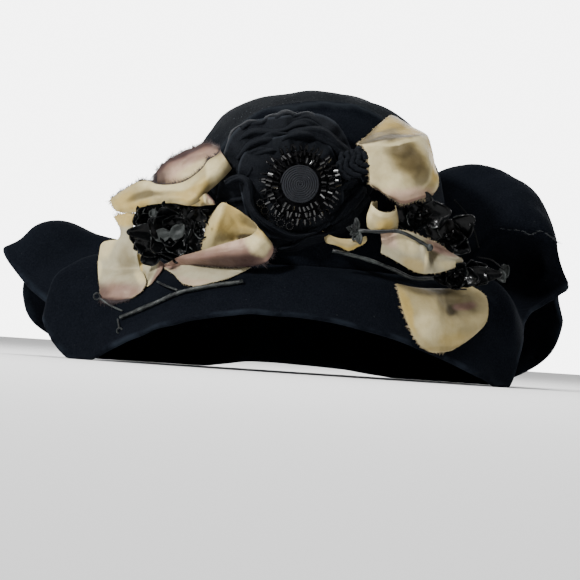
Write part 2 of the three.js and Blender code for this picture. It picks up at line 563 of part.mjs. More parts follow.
// A cupped petal that leaves its flower's middle at turn degrees.
function petalGrid(flower, petal, facets) {
  const base = onVeil(flower.x, flower.z, flower.lift);
  const turn = rad(petal.turn);
  const lean = rad(petal.lean);
  const out = V(Math.cos(turn) * Math.cos(lean), -Math.sin(lean), Math.sin(turn) * Math.cos(lean));
  const side = V(-Math.sin(turn), 0, Math.cos(turn));
  const face = out.clone().cross(side).normalize();
  const grid = [];
  for (let i = 0; i <= facets.along; i++) {
    const t = i / facets.along;
    const half = petal.wide / 2 * (0.28 + 0.72 * Math.sin(Math.PI * (0.08 + 0.72 * t)));
    const row = [];
    for (let j = 0; j <= facets.across; j++) {
      const s = 2 * j / facets.across - 1;
      const rim = 1 - 0.16 * s * s * t;
      const cup = petal.cup * (t * t * 0.6 + s * s * 0.5);
      row.push(base.clone().addScaledVector(out, petal.long * t * rim).addScaledVector(side, half * s).addScaledVector(face, cup));
    }
    grid.push(row);
  }
  return grid;
}

function flowerSolid(flower, grow, facets = PETAL_FACETS) {
  const eye = new THREE.IcosahedronGeometry(flower.eye + grow, 0);
  eye.translate(...onVeil(flower.x, flower.z, flower.lift).toArray());
  const heart = onVeil(flower.x, flower.z, flower.lift);
  const seat = onVeil(flower.rootX, flower.rootZ, 0);
  seat.y = velvetFront(flower.rootX, flower.rootZ) + ROOT.into;
  const body = solidOfGeometry(eye).add(stem([heart, heart.clone().lerp(seat, 0.5), seat], ROOT.radius, grow));
  return flower.petals.reduce(
    (solid, petal) => solid.add(wall(petalGrid(flower, petal, facets), LACQUER, { grow })),
    body,
  );
}

function flowers(list) {
  return (grow) => list.map((flower) => flowerSolid(flower, grow)).reduce((a, b) => a.add(b));
}

// Points along a stem, each laid on the veil or clear of the velvet.
function stemPath(piece) {
  const plan = new THREE.CatmullRomCurve3(piece.path.map((p) => V(p.x, p.lift, p.z)), false, 'centripetal');
  const count = (piece.path.length - 1) * 2;
  const points = [];
  for (let i = 0; i <= count; i++) {
    const p = plan.getPoint(i / count);
    const q = onVeil(p.x, p.z, p.y);
    q.y = Math.min(q.y, velvetFront(p.x, p.z, piece.radius + CLEAR));
    points.push(q);
  }
  return points;
}

// A round stem swept through points.
function stem(points, radius, grow = 0) {
  const path = new THREE.CatmullRomCurve3(points, false, 'centripetal');
  const shape = new THREE.Shape();
  shape.absarc(0, 0, radius + grow, 0, TAU, false);
  return solidOfGeometry(new THREE.ExtrudeGeometry(shape, {
    steps: points.length,
    curveSegments: 3,
    extrudePath: path,
    bevelEnabled: false,
  }));
}

function ball(centre, radius, grow = 0) {
  const geometry = new THREE.IcosahedronGeometry(radius + grow, 1);
  geometry.translate(...centre.toArray());
  return solidOfGeometry(geometry);
}

// A wire eye: a small ring that carries on a stem beyond its first point.
function eye(points, radius, wire, grow = 0) {
  const outwards = points[0].clone().sub(points[1]).setY(0).setLength(radius);
  const centre = points[0].clone().add(outwards);
  const geometry = new THREE.TorusGeometry(radius, wire + grow, 4, 8);
  geometry.rotateX(Math.PI / 2);
  geometry.translate(...centre.toArray());
  return solidOfGeometry(geometry);
}

// The disc behind the button with its two rows of long beads.
function beadRing(grow) {
  const disc = new THREE.CylinderGeometry(BEADS.disc + grow, BEADS.disc + grow, BEADS.thick + 2 * grow, BEADS.discSides, 1);
  let solid = solidOfGeometry(disc);
  for (const row of BEADS.rows) {
    for (let i = 0; i < row.count; i++) {
      const bead = new THREE.CylinderGeometry(BEADS.radius + grow, BEADS.radius + grow, row.to - row.from + 2 * grow, BEADS.sides, 1);
      bead.translate(0, (row.from + row.to) / 2, BEADS.thick / 2 + row.up);
      bead.rotateX(Math.PI / 2);
      bead.rotateY(TAU * (i + row.shift) / row.count);
      solid = solid.add(solidOfGeometry(bead));
    }
  }
  return solid.translate(RING.x, ROSETTE.y - BEADS.stand, RING.z);
}

// A button wound with a flat spiral of cord.
function cordButton(grow) {
  const profile = [[0, BUTTON.high + grow]];
  for (let k = 0; k < BUTTON.turns; k++) {
    const pitch = BUTTON.radius / BUTTON.turns;
    const dome = (r) => BUTTON.high * (1 - 0.35 * (r / BUTTON.radius) ** 2);
    profile.push([(k + 0.5) * pitch, dome((k + 0.5) * pitch) + grow]);
    if (k < BUTTON.turns - 1) profile.push([(k + 1) * pitch, dome((k + 1) * pitch) - BUTTON.groove + grow]);
  }
  profile.push([BUTTON.radius + grow, BUTTON.high * 0.4]);
  profile.push([BUTTON.radius + grow, -grow]);
  profile.push([0, -grow]);
  const lathe = new THREE.LatheGeometry(profile.reverse().map(([x, y]) => new THREE.Vector2(x, y)), BUTTON.sides);
  lathe.rotateX(Math.PI);
  return solidOfGeometry(lathe).translate(RING.x, ROSETTE.y - BUTTON.stand, RING.z);
}

// ---------------------------------------------------------------- assembly
const hat = new THREE.Group();
hat.name = 'wide_brim_hat';
const placed = [];

// The largest body of a solid, so that a cut leaves one piece.
function mainBody(solid) {
  const bodies = solid.decompose();
  return bodies.reduce((best, body) => (body.volume() > best.volume() ? body : best));
}

// Adds a piece; unless it is whole it is cut back by GAP from those in place.
function addPiece(name, build, look, whole = false) {
  let solid = build(0);
  const box = solid.boundingBox();
  for (const other of whole ? [] : placed) {
    const apart = [0, 1, 2].some((k) => box.min[k] > other.box.max[k] + 1 || other.box.min[k] > box.max[k] + 1);
    if (!apart) solid = solid.subtract(other.build(GAP));
  }
  solid = mainBody(solid).simplify(FAIRNESS);
  placed.push({ build, box: solid.boundingBox() });
  const { vertProperties, triVerts } = solid.getMesh();
  const geometry = new THREE.BufferGeometry();
  geometry.setAttribute('position', new THREE.BufferAttribute(new Float32Array(vertProperties), 3));
  geometry.setIndex(new THREE.BufferAttribute(new Uint32Array(triVerts), 1));
  geometry.translate(MID_X, MID_Y, 0);
  geometry.computeVertexNormals();
  const mesh = new THREE.Mesh(geometry, new THREE.MeshStandardMaterial(look));
  mesh.name = name;
  hat.add(mesh);
  return mesh;
}

const LOOK = {
  velvet: { color: 0x14181f, roughness: 0.95, metalness: 0 },
  chiffon: { color: 0x2b2b30, roughness: 0.8, metalness: 0 },
  satin: { color: 0xd9cfb0, roughness: 0.35, metalness: 0 },
  mauve: { color: 0xcbbfb4, roughness: 0.35, metalness: 0 },
  lacquer: { color: 0x101214, roughness: 0.15, metalness: 0 },
  cord: { color: 0x34353a, roughness: 0.7, metalness: 0 },
  beads: { color: 0x0c0c0e, roughness: 0.08, metalness: 0 },
  stem: { color: 0x6f7a72, roughness: 0.5, metalness: 0 },
};

carriers.push(addPiece('crown', (grow) => crownSolid(grow, grow > 0), LOOK.velvet));
carriers.push(addPiece('brim', brimSolid, LOOK.velvet, true));
hat.updateMatrixWorld(true);

addPiece('rosette_outer_ruffle', ruffle(OUTER_RUFFLE), LOOK.chiffon);
addPiece('bead_ring', beadRing, LOOK.beads, true);
addPiece('cord_button', cordButton, LOOK.cord, true);
addPiece('rosette_inner_ruffle', ruffle(INNER_RUFFLE), LOOK.chiffon);
addPiece('rosette_knot', ribbon(KNOT, CHIFFON, { along: 1, across: 3 }), LOOK.chiffon);
addPiece('satin_upper_left', ribbon(UPPER_LEFT, SATIN), LOOK.satin);
addPiece('satin_hanging_left', ribbon(HANGING_LEFT, SATIN), LOOK.satin);
addPiece('satin_centre_left', ribbon(CENTRE_LEFT, SATIN), LOOK.satin);
addPiece('satin_leaf_left', ribbon(LEAF_LEFT, SATIN), LOOK.mauve);
addPiece('satin_upper_right', ribbon(UPPER_RIGHT, SATIN), LOOK.satin);
addPiece('satin_middle_right', ribbon(MIDDLE_RIGHT, SATIN), LOOK.satin);
addPiece('satin_curl_right', ribbon(CURL_RIGHT, SATIN), LOOK.satin);
addPiece('satin_tab_right', ribbon(TAB_RIGHT, SATIN), LOOK.satin);
addPiece('satin_round_right', ribbon(ROUND_RIGHT, SATIN), LOOK.satin);
addPiece('flowers_left', flowers(FLOWERS_LEFT), LOOK.lacquer);
addPiece('flowers_right', flowers(FLOWERS_RIGHT), LOOK.lacquer);
addPiece('flowers_lower_right', flowers(FLOWERS_LOWER), LOOK.lacquer);
for (const piece of STEMS) {
  const points = stemPath(piece);
  addPiece(piece.name, (grow) => {
    let solid = stem(points, piece.radius, grow);
    if (piece.tip) solid = solid.add(ball(points[points.length - 1], piece.tip, grow));
    if (piece.calyx) solid = solid.add(flowerSolid({ ...CALYX, ...piece.path[0] }, grow, SEPAL_FACETS));
    if (piece.eye) solid = solid.add(eye(points, piece.eye, piece.radius, grow));
    return solid;
  }, LOOK.stem);
}

export default hat;
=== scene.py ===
"""Looks of the wide-brim velvet hat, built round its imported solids.

Tables are in millimetres in the hat's own frame: x to the right of the front view, y back, z up,
with the crown's axis at x = y = 0. place() turns them into the row frame in metres.
"""

import math
import random

import bpy
import numpy as np
from mathutils import Matrix, Vector
from mathutils.bvhtree import BVHTree


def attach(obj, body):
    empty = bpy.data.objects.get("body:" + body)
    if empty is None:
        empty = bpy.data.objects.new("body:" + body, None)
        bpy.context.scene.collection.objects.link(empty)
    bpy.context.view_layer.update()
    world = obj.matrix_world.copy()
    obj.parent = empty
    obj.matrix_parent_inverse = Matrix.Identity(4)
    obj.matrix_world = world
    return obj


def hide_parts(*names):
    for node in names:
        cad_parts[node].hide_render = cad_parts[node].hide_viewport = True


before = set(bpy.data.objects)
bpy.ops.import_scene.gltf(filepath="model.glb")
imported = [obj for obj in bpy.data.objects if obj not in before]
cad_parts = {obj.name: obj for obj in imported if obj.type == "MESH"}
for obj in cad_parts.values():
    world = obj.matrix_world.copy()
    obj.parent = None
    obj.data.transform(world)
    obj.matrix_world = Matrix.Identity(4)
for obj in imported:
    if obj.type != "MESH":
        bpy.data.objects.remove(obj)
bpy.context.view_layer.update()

# ---------------------------------------------------------------- sizes
MID = np.array([14.5, -8.7, 0.0])
VELVET = 2.6
SATIN = 0.6
CHIFFON = 0.6
LACQUER = 0.7
GREY_THICK = 0.6
GAP = 0.3
CLEAR = 0.4
NOWHERE = 400.0
TAU = 2 * math.pi

CROWN_A, CROWN_B, CROWN_TOP = 85.0, 98.0, 176.0
BASE_MID, BASE_TILT = 58.0, 6.0
CROWN_POWER = 2.8
FOLD_Y, FOLD_STEP, FOLD_SOFT, FOLD_RIDGE = -52.0, 3.0, 7.0, 0.9

# Brim sections: direction from the crown's axis, swing of the rim, tuck of the rings inside it, all in
# degrees, then radius and height of the near, mid, far and rim rings.
BRIM = [
    (2, 0, 0, 102, 64, 122, 57, 142, 53, 156, 60),
    (7, 1, 9, 103, 72, 124, 75, 148, 76, 166, 67),
    (12, -3, -5, 104, 84, 127, 103, 149, 97, 165, 70),
    (19, -5, -2, 104, 102, 136, 123, 157, 102, 163, 60),
    (28, -6, -1, 105, 122, 139, 134, 161, 106, 177, 42),
    (38, -9, -1, 105, 134, 135, 140, 158, 100, 180, 20),
    (50, -4, 0, 105, 126, 126, 128, 148, 80, 169, -1),
    (62, 0, 0, 107, 92, 123, 90, 145, 52, 170, -1),
    (79, 0, 0, 109, 58, 126, 52, 143, 35, 157, 5),
    (101, 0, 0, 109, 54, 127, 47, 144, 32, 157, 6),
    (121, 0, 0, 106, 58, 129, 54, 152, 34, 170, -1),
    (136, 0, 0, 104, 61, 131, 58, 158, 38, 180, -1),
    (151, 2, 0, 103, 65, 136, 64, 170, 46, 197, 20),
    (161, -1, 0, 103, 68, 138, 74, 170, 62, 195, 36),
    (169, 1, 0, 103, 70, 138, 79, 168, 84, 184, 66),
    (177, 0, 0, 103, 70, 136, 75, 170, 80, 194, 66),
    (185, 0, 0, 103, 67, 128, 61, 152, 54, 176, 44),
    (192, 0, 0, 104, 65, 130, 58, 148, 48, 163, 32),
    (198, 0, 0, 105, 66, 138, 65, 165, 48, 170, 22),
    (208, 0, 0, 106, 65, 132, 56, 150, 34, 159, -1),
    (222, 0, 0, 107, 63, 124, 53, 139, 34, 151, 11),
    (236, 0, 0, 108, 62, 122, 53, 135, 40, 147, 25),
    (252, 0, 0, 108, 62, 119, 56, 131, 45, 142, 33),
    (270, 0, 0, 108, 63, 118, 57, 128, 46, 137, 35),
    (288, 0, 0, 107, 62, 117, 55, 126, 42, 134, 28),
    (304, 0, 0, 106, 62, 118, 52, 128, 35, 136, 18),
    (319, 0, 0, 105, 63, 121, 52, 134, 30, 143, 5),
    (330, -2, 0, 104, 65, 124, 57, 139, 34, 144, -1),
    (341, -6, -2, 103, 67, 124, 64, 139, 50, 145, 23),
    (352, -1, 0, 102, 63, 119, 54, 131, 47, 138, 45),
]
BRIM_PER_SECTION = 14
BRIM_ACROSS = 44

VEIL = {"front": -112, "curve": 0.0034, "knee": 100, "lean": 0.35, "hem": 66, "tuck": 1.2}
ROSETTE = {"x": -15.5, "y": -99, "z": 113, "fall": 0.0075}
RING = {"x": -9.9, "z": 113.4}

# Satin pieces. rows: points (x, z, lift) across the sheet, one row after another along it. folds: a ridge
# or valley along a line in the front view (x, z, x, z, width, height, first row, last row). frays: edge,
# threads, length, tone. stains_and_painted_light: soft marks at (u, v) along and across, (reach u, reach v),
# turn, colour, strength. Most marks are the satin's own colouring and discolouring. The "shade" marks and
# some "dusk" ones are painted shade in hollows, creases, under folds and under the flowers. The thin "ivory"
# lines on fold ridges, with a "pink" one on the centre-left strip's upper edge, are painted highlights.
SATINS = {
    "satin_upper_left": {
        "rows": [
            [(-125, 99, 5), (-124.5, 97, 6), (-123, 94.5, 5), (-121, 92, 4)],
            [(-117, 105, 4), (-117, 100, 8), (-116, 95, 8), (-114, 91, 5)],
            [(-109, 110, 4), (-109, 104, 8), (-109, 98, 9), (-108, 92, 7)],
            [(-102, 111, 5), (-101, 106, 7), (-100, 101, 10), (-101, 96, 9)],
            [(-97, 109, 6), (-97, 105, 9), (-96, 101, 11), (-96, 97, 10)],
            [(-88, 109, 7), (-86, 105, 10), (-86, 101, 13), (-85, 98, 11)],
            [(-80, 111, 8), (-78, 106, 11), (-76, 101, 13), (-75, 97, 11)],
            [(-74, 115, 8), (-72, 110, 11), (-71, 105, 13), (-69, 100.5, 11)],
            [(-69, 120, 7), (-67, 115.5, 10), (-66, 111, 11), (-65, 106, 8)],
            [(-66, 125, 5), (-63, 121, 8), (-61, 117, 8), (-59, 112, 5)],
            [(-61, 129, 2), (-57, 127, 5), (-54, 124, 4), (-52, 121, 1)],
            [(-60, 133, -2), (-59, 129, 0), (-58, 123, 0), (-57, 117, -1)],
            [(-68, 136, -3), (-68, 130, -1), (-68, 123, 0), (-68, 116, -2)],
            [(-76, 133, -3), (-76, 127, 0), (-76, 119, 1), (-76, 111, -1)],
            [(-84, 129, -3), (-83, 123, 1), (-83, 116, 2), (-82, 108, -1)],
            [(-92, 124, -2), (-91, 119, 1), (-90, 114, 1), (-89, 108, -1)],
            [(-98, 117, -1), (-97, 114.5, 0), (-97, 112, 0), (-96, 109, -1)],
        ],
        "second": [
            [(-77, 101, 9), (-76, 99, 10), (-75, 97, 9)],
            [(-71, 104, 9), (-70, 101, 10.5), (-69, 97, 9)],
            [(-65.5, 104.5, 7), (-65, 101.5, 8.5), (-64, 98, 7.5)],
            [(-61, 100.5, 5), (-60.5, 99.5, 5.5), (-60, 98.5, 5)],
        ],
        "folds": [
            (-120, 98, -98, 103, 3.0, -2.2, 0, 5), (-97, 108, -96, 99, 1.6, 1.4, 2, 6),
            (-112, 96, -96, 99, 2.5, 1.6, 1, 5), (-80, 106, -62, 117, 3.2, 1.6, 6, 10),
            (-86, 100, -66, 106, 3.0, -1.4, 5, 9), (-66, 102, -63, 112, 2.0, -1.4, 7, 9),
            (-90, 117, -66, 126, 3.5, -2.0, 11, 16), (-80, 128, -64, 131, 3.0, 1.4, 11, 15),
        ],
        "frays": [("first", 1700, 2.9, "dark"), ("finish", 420, 3.0, "dark"), ("start", 60, 2.4, "pale")],
        "on": "crown_velvet", "slot": "satin", "seed": 31, "base": "cream",
        "stains_and_painted_light": [
            (0.05, 0.55, 0.1, 0.6, 0, "gold", 0.55), (0.17, 0.5, 0.13, 0.22, 12, "shade", 0.75),
            (0.24, 0.12, 0.12, 0.25, 0, "ivory", 0.9), (0.14, 0.85, 0.1, 0.22, 0, "gold", 0.7),
            (0.42, 0.6, 0.16, 0.45, 0, "gold", 0.6), (0.64, 0.85, 0.12, 0.45, 0, "dusk", 0.85),
            (0.68, 0.5, 0.05, 0.8, 0, "rose", 0.7), (0.34, 0.15, 0.14, 0.25, 0, "ivory", 0.7),
            (0.55, 0.45, 0.06, 0.6, 0, "ivory", 0.9), (0.47, 1.02, 0.17, 0.38, 0, "shade", 0.85),
            (0.86, 0.4, 0.26, 0.75, 0, "pink", 0.85), (0.78, 0.72, 0.14, 0.3, 0, "ivory", 0.8),
            (0.84, 0.02, 0.26, 0.55, 0, "rose", 0.95), (0.84, -0.02, 0.3, 0.3, 0, "mauve", 1.0),
            (1.0, 0.55, 0.11, 1.0, 0, "mauve", 0.9),
        ],
    },
    "satin_hanging_left": {
        "rows": [
            [(-122.3, 88.5, 4), (-116, 90.5, 5), (-109, 91, 4)],
            [(-119.2, 84, 5), (-115, 84.5, 6), (-109.5, 85.5, 4)],
            [(-117.4, 80.4, 5), (-114, 80.4, 6), (-109.7, 80.9, 4)],
            [(-118, 75.5, 4), (-114, 76.5, 5), (-108.5, 77, 4)],
            [(-128.5, 72, 3), (-117, 71, 5), (-106, 71.5, 3)],
            [(-130, 65, 3), (-119, 64, 6), (-106, 66, 3)],
            [(-130, 57, 3), (-117, 57, 6), (-104, 58, 4)],
            [(-129, 51, 3), (-116, 52, 6), (-101, 54, 5)],
            [(-128, 46, 2), (-115, 47, 5), (-99, 49, 4)],
            [(-127, 41, 2), (-114, 42, 4), (-101, 44, 2)],
            [(-127, 38, 1.5), (-117, 37, 2), (-107, 39, 1.5)],
        ],
        "second": [
            [(-107, 66, 1.5), (-105, 62, 2.5), (-103, 56, 1.5)],
            [(-100, 67, 2), (-99, 58, 4), (-99, 50, 2)],
            [(-95, 65, 2), (-95, 57, 3.5), (-98, 47, 1.5)],
            [(-89, 61, 1.5), (-90, 57, 2), (-95, 49, 1)],
        ],
        "folds": [
            (-127, 68, -116, 62, 4.0, 1.0, 3, 8), (-106, 70, -101, 57, 2.5, 1.4, 3, 8),
            (-122, 60, -108, 50, 5.0, -1.2, 4, 9), (-116, 90, -115, 74, 1.6, -1.4, 0, 3),
        ],
        "frays": [
            ("finish", 420, 2.8, "dark"), ("first", 120, 0.9, "pale"), ("start", 80, 2.6, "pale"),
            ("last", 90, 0.9, "pale"),
        ],
        "on": "brim_velvet", "slot": "pink_satin", "seed": 32, "base": "pearl",
        "stains_and_painted_light": [
            (0.05, 0.5, 0.14, 0.9, 0, "gold", 0.75), (0.26, 0.9, 0.1, 0.3, 0, "sand", 0.6),
            (0.42, 0.12, 0.14, 0.3, 0, "ivory", 0.95), (0.55, 0.72, 0.2, 0.3, 20, "dusk", 0.45),
            (0.72, 0.95, 0.12, 0.18, 0, "ivory", 0.95), (0.62, 0.0, 0.2, 0.12, 0, "ivory", 0.7),
            (0.92, 0.45, 0.2, 0.95, 0, "rose", 0.9), (0.92, 0.02, 0.2, 0.3, 0, "mauve", 0.6),
            (1.04, 0.5, 0.1, 1.1, 0, "mauve", 0.95),
        ],
    },
    "satin_centre_left": {
        "rows": [
            [(-87, 61.5, 4), (-87, 61, 4.5), (-86, 60, 4)],
            [(-80, 65.5, 8), (-79, 63, 8.5), (-78, 60.5, 6)],
            [(-72, 68, 11), (-70, 65, 11.5), (-67, 61.5, 8)],
            [(-62, 71.5, 13), (-57, 67, 14), (-52, 61.5, 10)],
            [(-52, 75, 14), (-46, 69, 15.5), (-38, 62.5, 11)],
            [(-43, 78, 14), (-36, 72, 16.5), (-27, 66, 12)],
            [(-37, 80.5, 13.5), (-31, 77, 15.5), (-23.5, 73, 11)],
            [(-33.5, 84.5, 10), (-30, 82.5, 11), (-26.5, 79, 8)],
            [(-35, 88, 5), (-34, 84, 4), (-32, 78, 2)],
            [(-39, 91, 5), (-40, 85, 1), (-41, 74, 1)],
            [(-45, 95, 5), (-47, 86, 0), (-48, 71, 0)],
            [(-51, 98, 5), (-55, 88, 4), (-57, 68, 1)],
            [(-56, 99.5, 4), (-61, 88, 5), (-63, 66, 1)],
            [(-60, 95, 3), (-64, 85, 3), (-67, 66, 1)],
        ],
        "folds": [
            (-82, 64, -40, 72, 2.6, 1.0, 1, 6), (-52, 96, -41, 82, 2.4, -1.6, 9, 13),
            (-56, 94, -60, 76, 2.5, 1.6, 10, 13), (-51, 77, -43, 79, 3.2, -4.2, 8, 12),
            (-38, 79, -28, 70, 2.2, 1.4, 4, 7),
        ],
        "frays": [("last", 650, 2.6, "dark"), ("finish", 200, 1.7, "pale"), ("first", 90, 0.9, "pale")],
        "on": "brim_velvet", "slot": "satin", "seed": 33, "base": "cream",
        "stains_and_painted_light": [
            (0.1, 0.5, 0.22, 1.1, 0, "rose", 0.95), (0.3, 0.55, 0.2, 0.8, 0, "rose", 0.95),
            (0.34, 0.05, 0.14, 0.25, 0, "pink", 0.7), (0.32, 0.85, 0.26, 0.5, 0, "mauve", 0.8),
            (0.2, 1.02, 0.3, 0.18, 0, "mauve", 0.85), (0.44, 0.45, 0.08, 0.7, 0, "ivory", 0.9),
            (0.43, 1.02, 0.08, 0.22, 0, "rose", 0.9), (0.53, 0.3, 0.07, 0.6, 0, "gold", 0.6),
            (0.8, 0.35, 0.22, 0.7, 0, "gold", 0.65), (0.7, 0.66, 0.12, 0.26, 0, "sand", 0.9),
            (0.69, 0.72, 0.07, 0.15, 0, "shade", 1.0), (0.66, 0.15, 0.14, 0.35, 0, "shade", 0.6),
            (0.92, 0.3, 0.08, 0.4, 0, "ivory", 0.5), (0.88, 0.85, 0.16, 0.3, 0, "cream", 0.9),
        ],
    },
    "satin_leaf_left": {
        "rows": [
            [(-90, 60.5, 2), (-89.5, 60, 2), (-89, 59, 2)],
            [(-83, 63, 3), (-82, 60, 4), (-82, 55, 2.5)],
            [(-74, 63.5, 4), (-74, 58, 5), (-76, 50, 2.5)],
            [(-62, 62.5, 4.5), (-63, 57, 5.5), (-67, 49, 2.5)],
            [(-50, 61.5, 4.5), (-53, 57, 5), (-58, 51.5, 2.5)],
            [(-42, 61.5, 4), (-44, 59, 4), (-48, 55, 2.5)],
            [(-36, 62, 3.5), (-37, 61.5, 3.5), (-39, 60, 3)],
        ],
        "folds": [(-86, 60, -60, 56, 3.0, 0.8, 0, 6), (-72, 52, -44, 58, 2.5, -0.8, 0, 6)],
        "frays": [("last", 170, 1.1, "pale"), ("start", 40, 1.2, "dark")],
        "on": "brim_velvet", "slot": "pink_satin", "seed": 34, "base": "pearl",
        "stains_and_painted_light": [
            (0.05, 0.3, 0.24, 0.8, 0, "rose", 0.95), (0.4, -0.02, 0.5, 0.3, 0, "shade", 0.8),
            (0.75, 0.1, 0.4, 0.3, 0, "dusk", 0.55), (0.45, 0.9, 0.3, 0.2, 0, "pink", 0.45),
        ],
    },
    "satin_upper_right": {
        "rows": [
            [(38, 113, 2), (46, 109, 2.5), (52, 106.5, 2), (62, 110, 1), (70, 113, 0)],
            [(33, 116, 2), (43, 113, 4), (52, 110, 5.5), (62, 113, 4), (73, 118, 0)],
            [(32, 120, 2), (45, 120, 5), (56, 120, 6.5), (66, 122, 4), (73.5, 124, -2)],
            [(31, 127, 3), (45, 128, 5), (58, 130, 6), (67, 131, 3), (71.5, 130, -4)],
            [(29, 135, 2), (43, 136, 5), (56, 139, 4), (64, 141, -1), (69, 141, -9)],
            [(26.5, 140, 1), (41, 142, 3), (54, 145.5, 0), (61, 148, -5), (66.5, 149, -12)],
            [(24, 141.5, -4), (38, 147, -3), (50, 150, -7), (59, 152, -12), (65, 151.5, -17)],
            [(27, 145, -10), (37, 151, -10), (46, 155, -14), (54, 156, -20), (60, 154.5, -25)],
            [(35, 154.5, -20), (39, 158.5, -22), (43, 162, -27), (47, 161, -28), (51, 158.5, -30)],
        ],
        "folds": [
            (45, 130, 70, 118, 4.0, -2.4, 0, 4), (36, 136, 40, 114, 3.0, -1.2, 0, 4),
            (60, 144, 72, 124, 3.0, 1.4, 1, 5), (40, 112, 64, 111, 2.5, 1.2, 0, 2),
            (30, 142, 62, 149, 1.8, 1.6, 4, 6), (34, 150, 56, 154, 3.0, -1.6, 6, 8),
        ],
        "frays": [
            ("start", 240, 2.8, "dark"), ("start", 260, 2.0, "pale"), ("first", 260, 1.9, "pale"),
            ("last", 130, 0.9, "pale"), ("finish", 60, 1.2, "pale"),
        ],
        "on": "crown_velvet", "slot": "satin", "seed": 35, "base": "ivory",
        "stains_and_painted_light": [
            (0.4, 0.95, 0.3, 0.16, 0, "gold", 0.9), (0.46, 0.48, 0.26, 0.42, 30, "sand", 0.9),
            (0.54, 0.38, 0.12, 0.26, 0, "shade", 0.75), (0.42, 0.5, 0.15, 0.24, 0, "shade", 0.75),
            (0.28, 0.66, 0.15, 0.2, 0, "shade", 0.65), (0.14, 0.88, 0.14, 0.14, 0, "sand", 0.8),
            (0.1, 0.55, 0.12, 0.55, 0, "pink", 0.85), (0.02, 0.5, 0.07, 1.0, 0, "rose", 0.85),
            (0.06, 0.02, 0.16, 0.16, 0, "mauve", 0.95), (0.62, 0.45, 0.03, 1.0, 0, "ivory", 0.9),
            (0.88, 0.5, 0.26, 1.4, 0, "sand", 1.0), (0.88, 0.6, 0.26, 0.8, 0, "shade", 0.5),
            (0.71, 0.45, 0.07, 0.9, 0, "shade", 0.95), (0.84, 0.05, 0.2, 0.18, 0, "shade", 0.7),
            (0.78, 0.75, 0.12, 0.4, 0, "gold", 0.6), (0.92, 0.4, 0.1, 0.4, 0, "gold", 0.6),
        ],
    },
    "satin_middle_right": {
        "rows": [
            [(40, 88, 4), (41, 82, 6), (41, 76, 4)],
            [(46, 89.5, 7), (49, 81, 9.5), (51, 71.5, 6)],
            [(53, 90, 8), (56, 79, 11), (59, 67.5, 7)],
            [(60, 88.5, 9), (64, 78, 12), (66, 65.5, 8)],
            [(67, 86.5, 7), (69, 77, 11), (72, 66, 8)],
            [(76, 83.5, 6), (76, 75, 9.5), (77, 67, 7)],
            [(84, 79, 4), (85, 74.5, 6.5), (85, 70, 5)],
            [(91, 76, 3), (91.5, 75, 3), (91, 74, 3)],
        ],
        "folds": [
            (66, 82, 72, 67, 1.6, 3.6, 2, 6), (69, 82, 75, 69, 2.2, -3.0, 2, 6),
            (72, 78, 88, 75, 1.8, 1.6, 3, 7), (72, 82, 86, 78, 2.2, -1.8, 3, 7),
            (44, 86, 58, 74, 4.0, 1.0, 0, 4),
        ],
        "frays": [("first", 150, 1.1, "pale"), ("last", 150, 0.9, "pale")],
        "on": "crown_velvet", "slot": "satin", "seed": 36, "base": "pearl",
        "stains_and_painted_light": [
            (0.08, 0.25, 0.18, 0.5, 0, "pink", 0.75), (0.3, 0.35, 0.18, 0.4, 0, "ivory", 0.9),
            (0.35, 0.85, 0.2, 0.25, 0, "gold", 0.5), (0.58, 0.45, 0.04, 0.6, 12, "ivory", 0.95),
            (0.66, 0.45, 0.07, 0.6, 12, "shade", 0.9), (0.75, 0.12, 0.24, 0.3, 0, "rose", 0.85),
            (0.85, 0.75, 0.2, 0.3, 0, "ivory", 0.8),
        ],
    },
    "satin_curl_right": {
        "rows": [
            [(38, 94, -3), (37.5, 100, -2), (37, 106, -1)],
            [(33, 93, 0), (32.5, 99, 1), (33.5, 105.5, 2)],
            [(32, 91, 4), (31.5, 96, 5), (34.5, 103, 5)],
            [(35, 89, 7), (35.5, 94, 8.5), (38, 100.5, 7)],
            [(41, 88, 8.5), (41, 93, 10), (42, 99.5, 8)],
            [(46.5, 90, 6.5), (47, 94.5, 8), (46.5, 100.5, 6)],
            [(50, 91.5, 3), (50, 96, 3.5), (48.5, 102, 3)],
            [(50, 95, -1), (49.5, 100, -1), (48, 105, 0)],
        ],
        "folds": [(36, 90, 47, 91, 2.5, 0.8, 2, 7)],
        "frays": [("last", 70, 0.9, "pale"), ("first", 70, 1.4, "dark")],
        "on": "crown_velvet", "slot": "satin", "seed": 37, "base": "cream",
        "stains_and_painted_light": [
            (0.0, 0.5, 0.22, 1.0, 0, "shade", 0.8), (0.45, 0.95, 0.4, 0.22, 0, "ivory", 0.9),
            (0.6, 0.35, 0.16, 0.5, 0, "gold", 0.75), (0.3, 0.5, 0.12, 0.6, 0, "ivory", 0.6),
            (1.0, 0.5, 0.2, 1.0, 0, "shade", 0.7),
        ],
    },
    "satin_tab_right": {
        "rows": [
            [(5, 87, -12), (6.5, 83.5, -10), (8, 80, -10)],
            [(14, 83, -3), (14.5, 81, -2), (15, 78.5, -3)],
            [(22, 82.5, 4), (22, 79, 6), (22, 76, 4)],
            [(28, 83.5, 4), (28, 81.5, 5), (27.5, 79, 4)],
            [(31.5, 85, 3), (32, 83, 3), (31, 81, 3)],
        ],
        "folds": [(16, 80, 30, 81, 1.5, 0.8, 1, 4)],
        "frays": [("last", 50, 0.9, "pale")],
        "on": "rosette_outer_chiffon", "slot": "satin", "seed": 38, "base": "cream",
        "stains_and_painted_light": [(0.6, 0.9, 0.5, 0.3, 0, "gold", 0.9), (0.3, 0.3, 0.3, 0.5, 0, "sand", 0.7)],
    },
    "satin_round_right": {
        "rows": [
            [(52, 58, 1.5), (64, 56.5, 3), (76, 57, 4.5), (88, 58, 4.5), (99, 60, 3)],
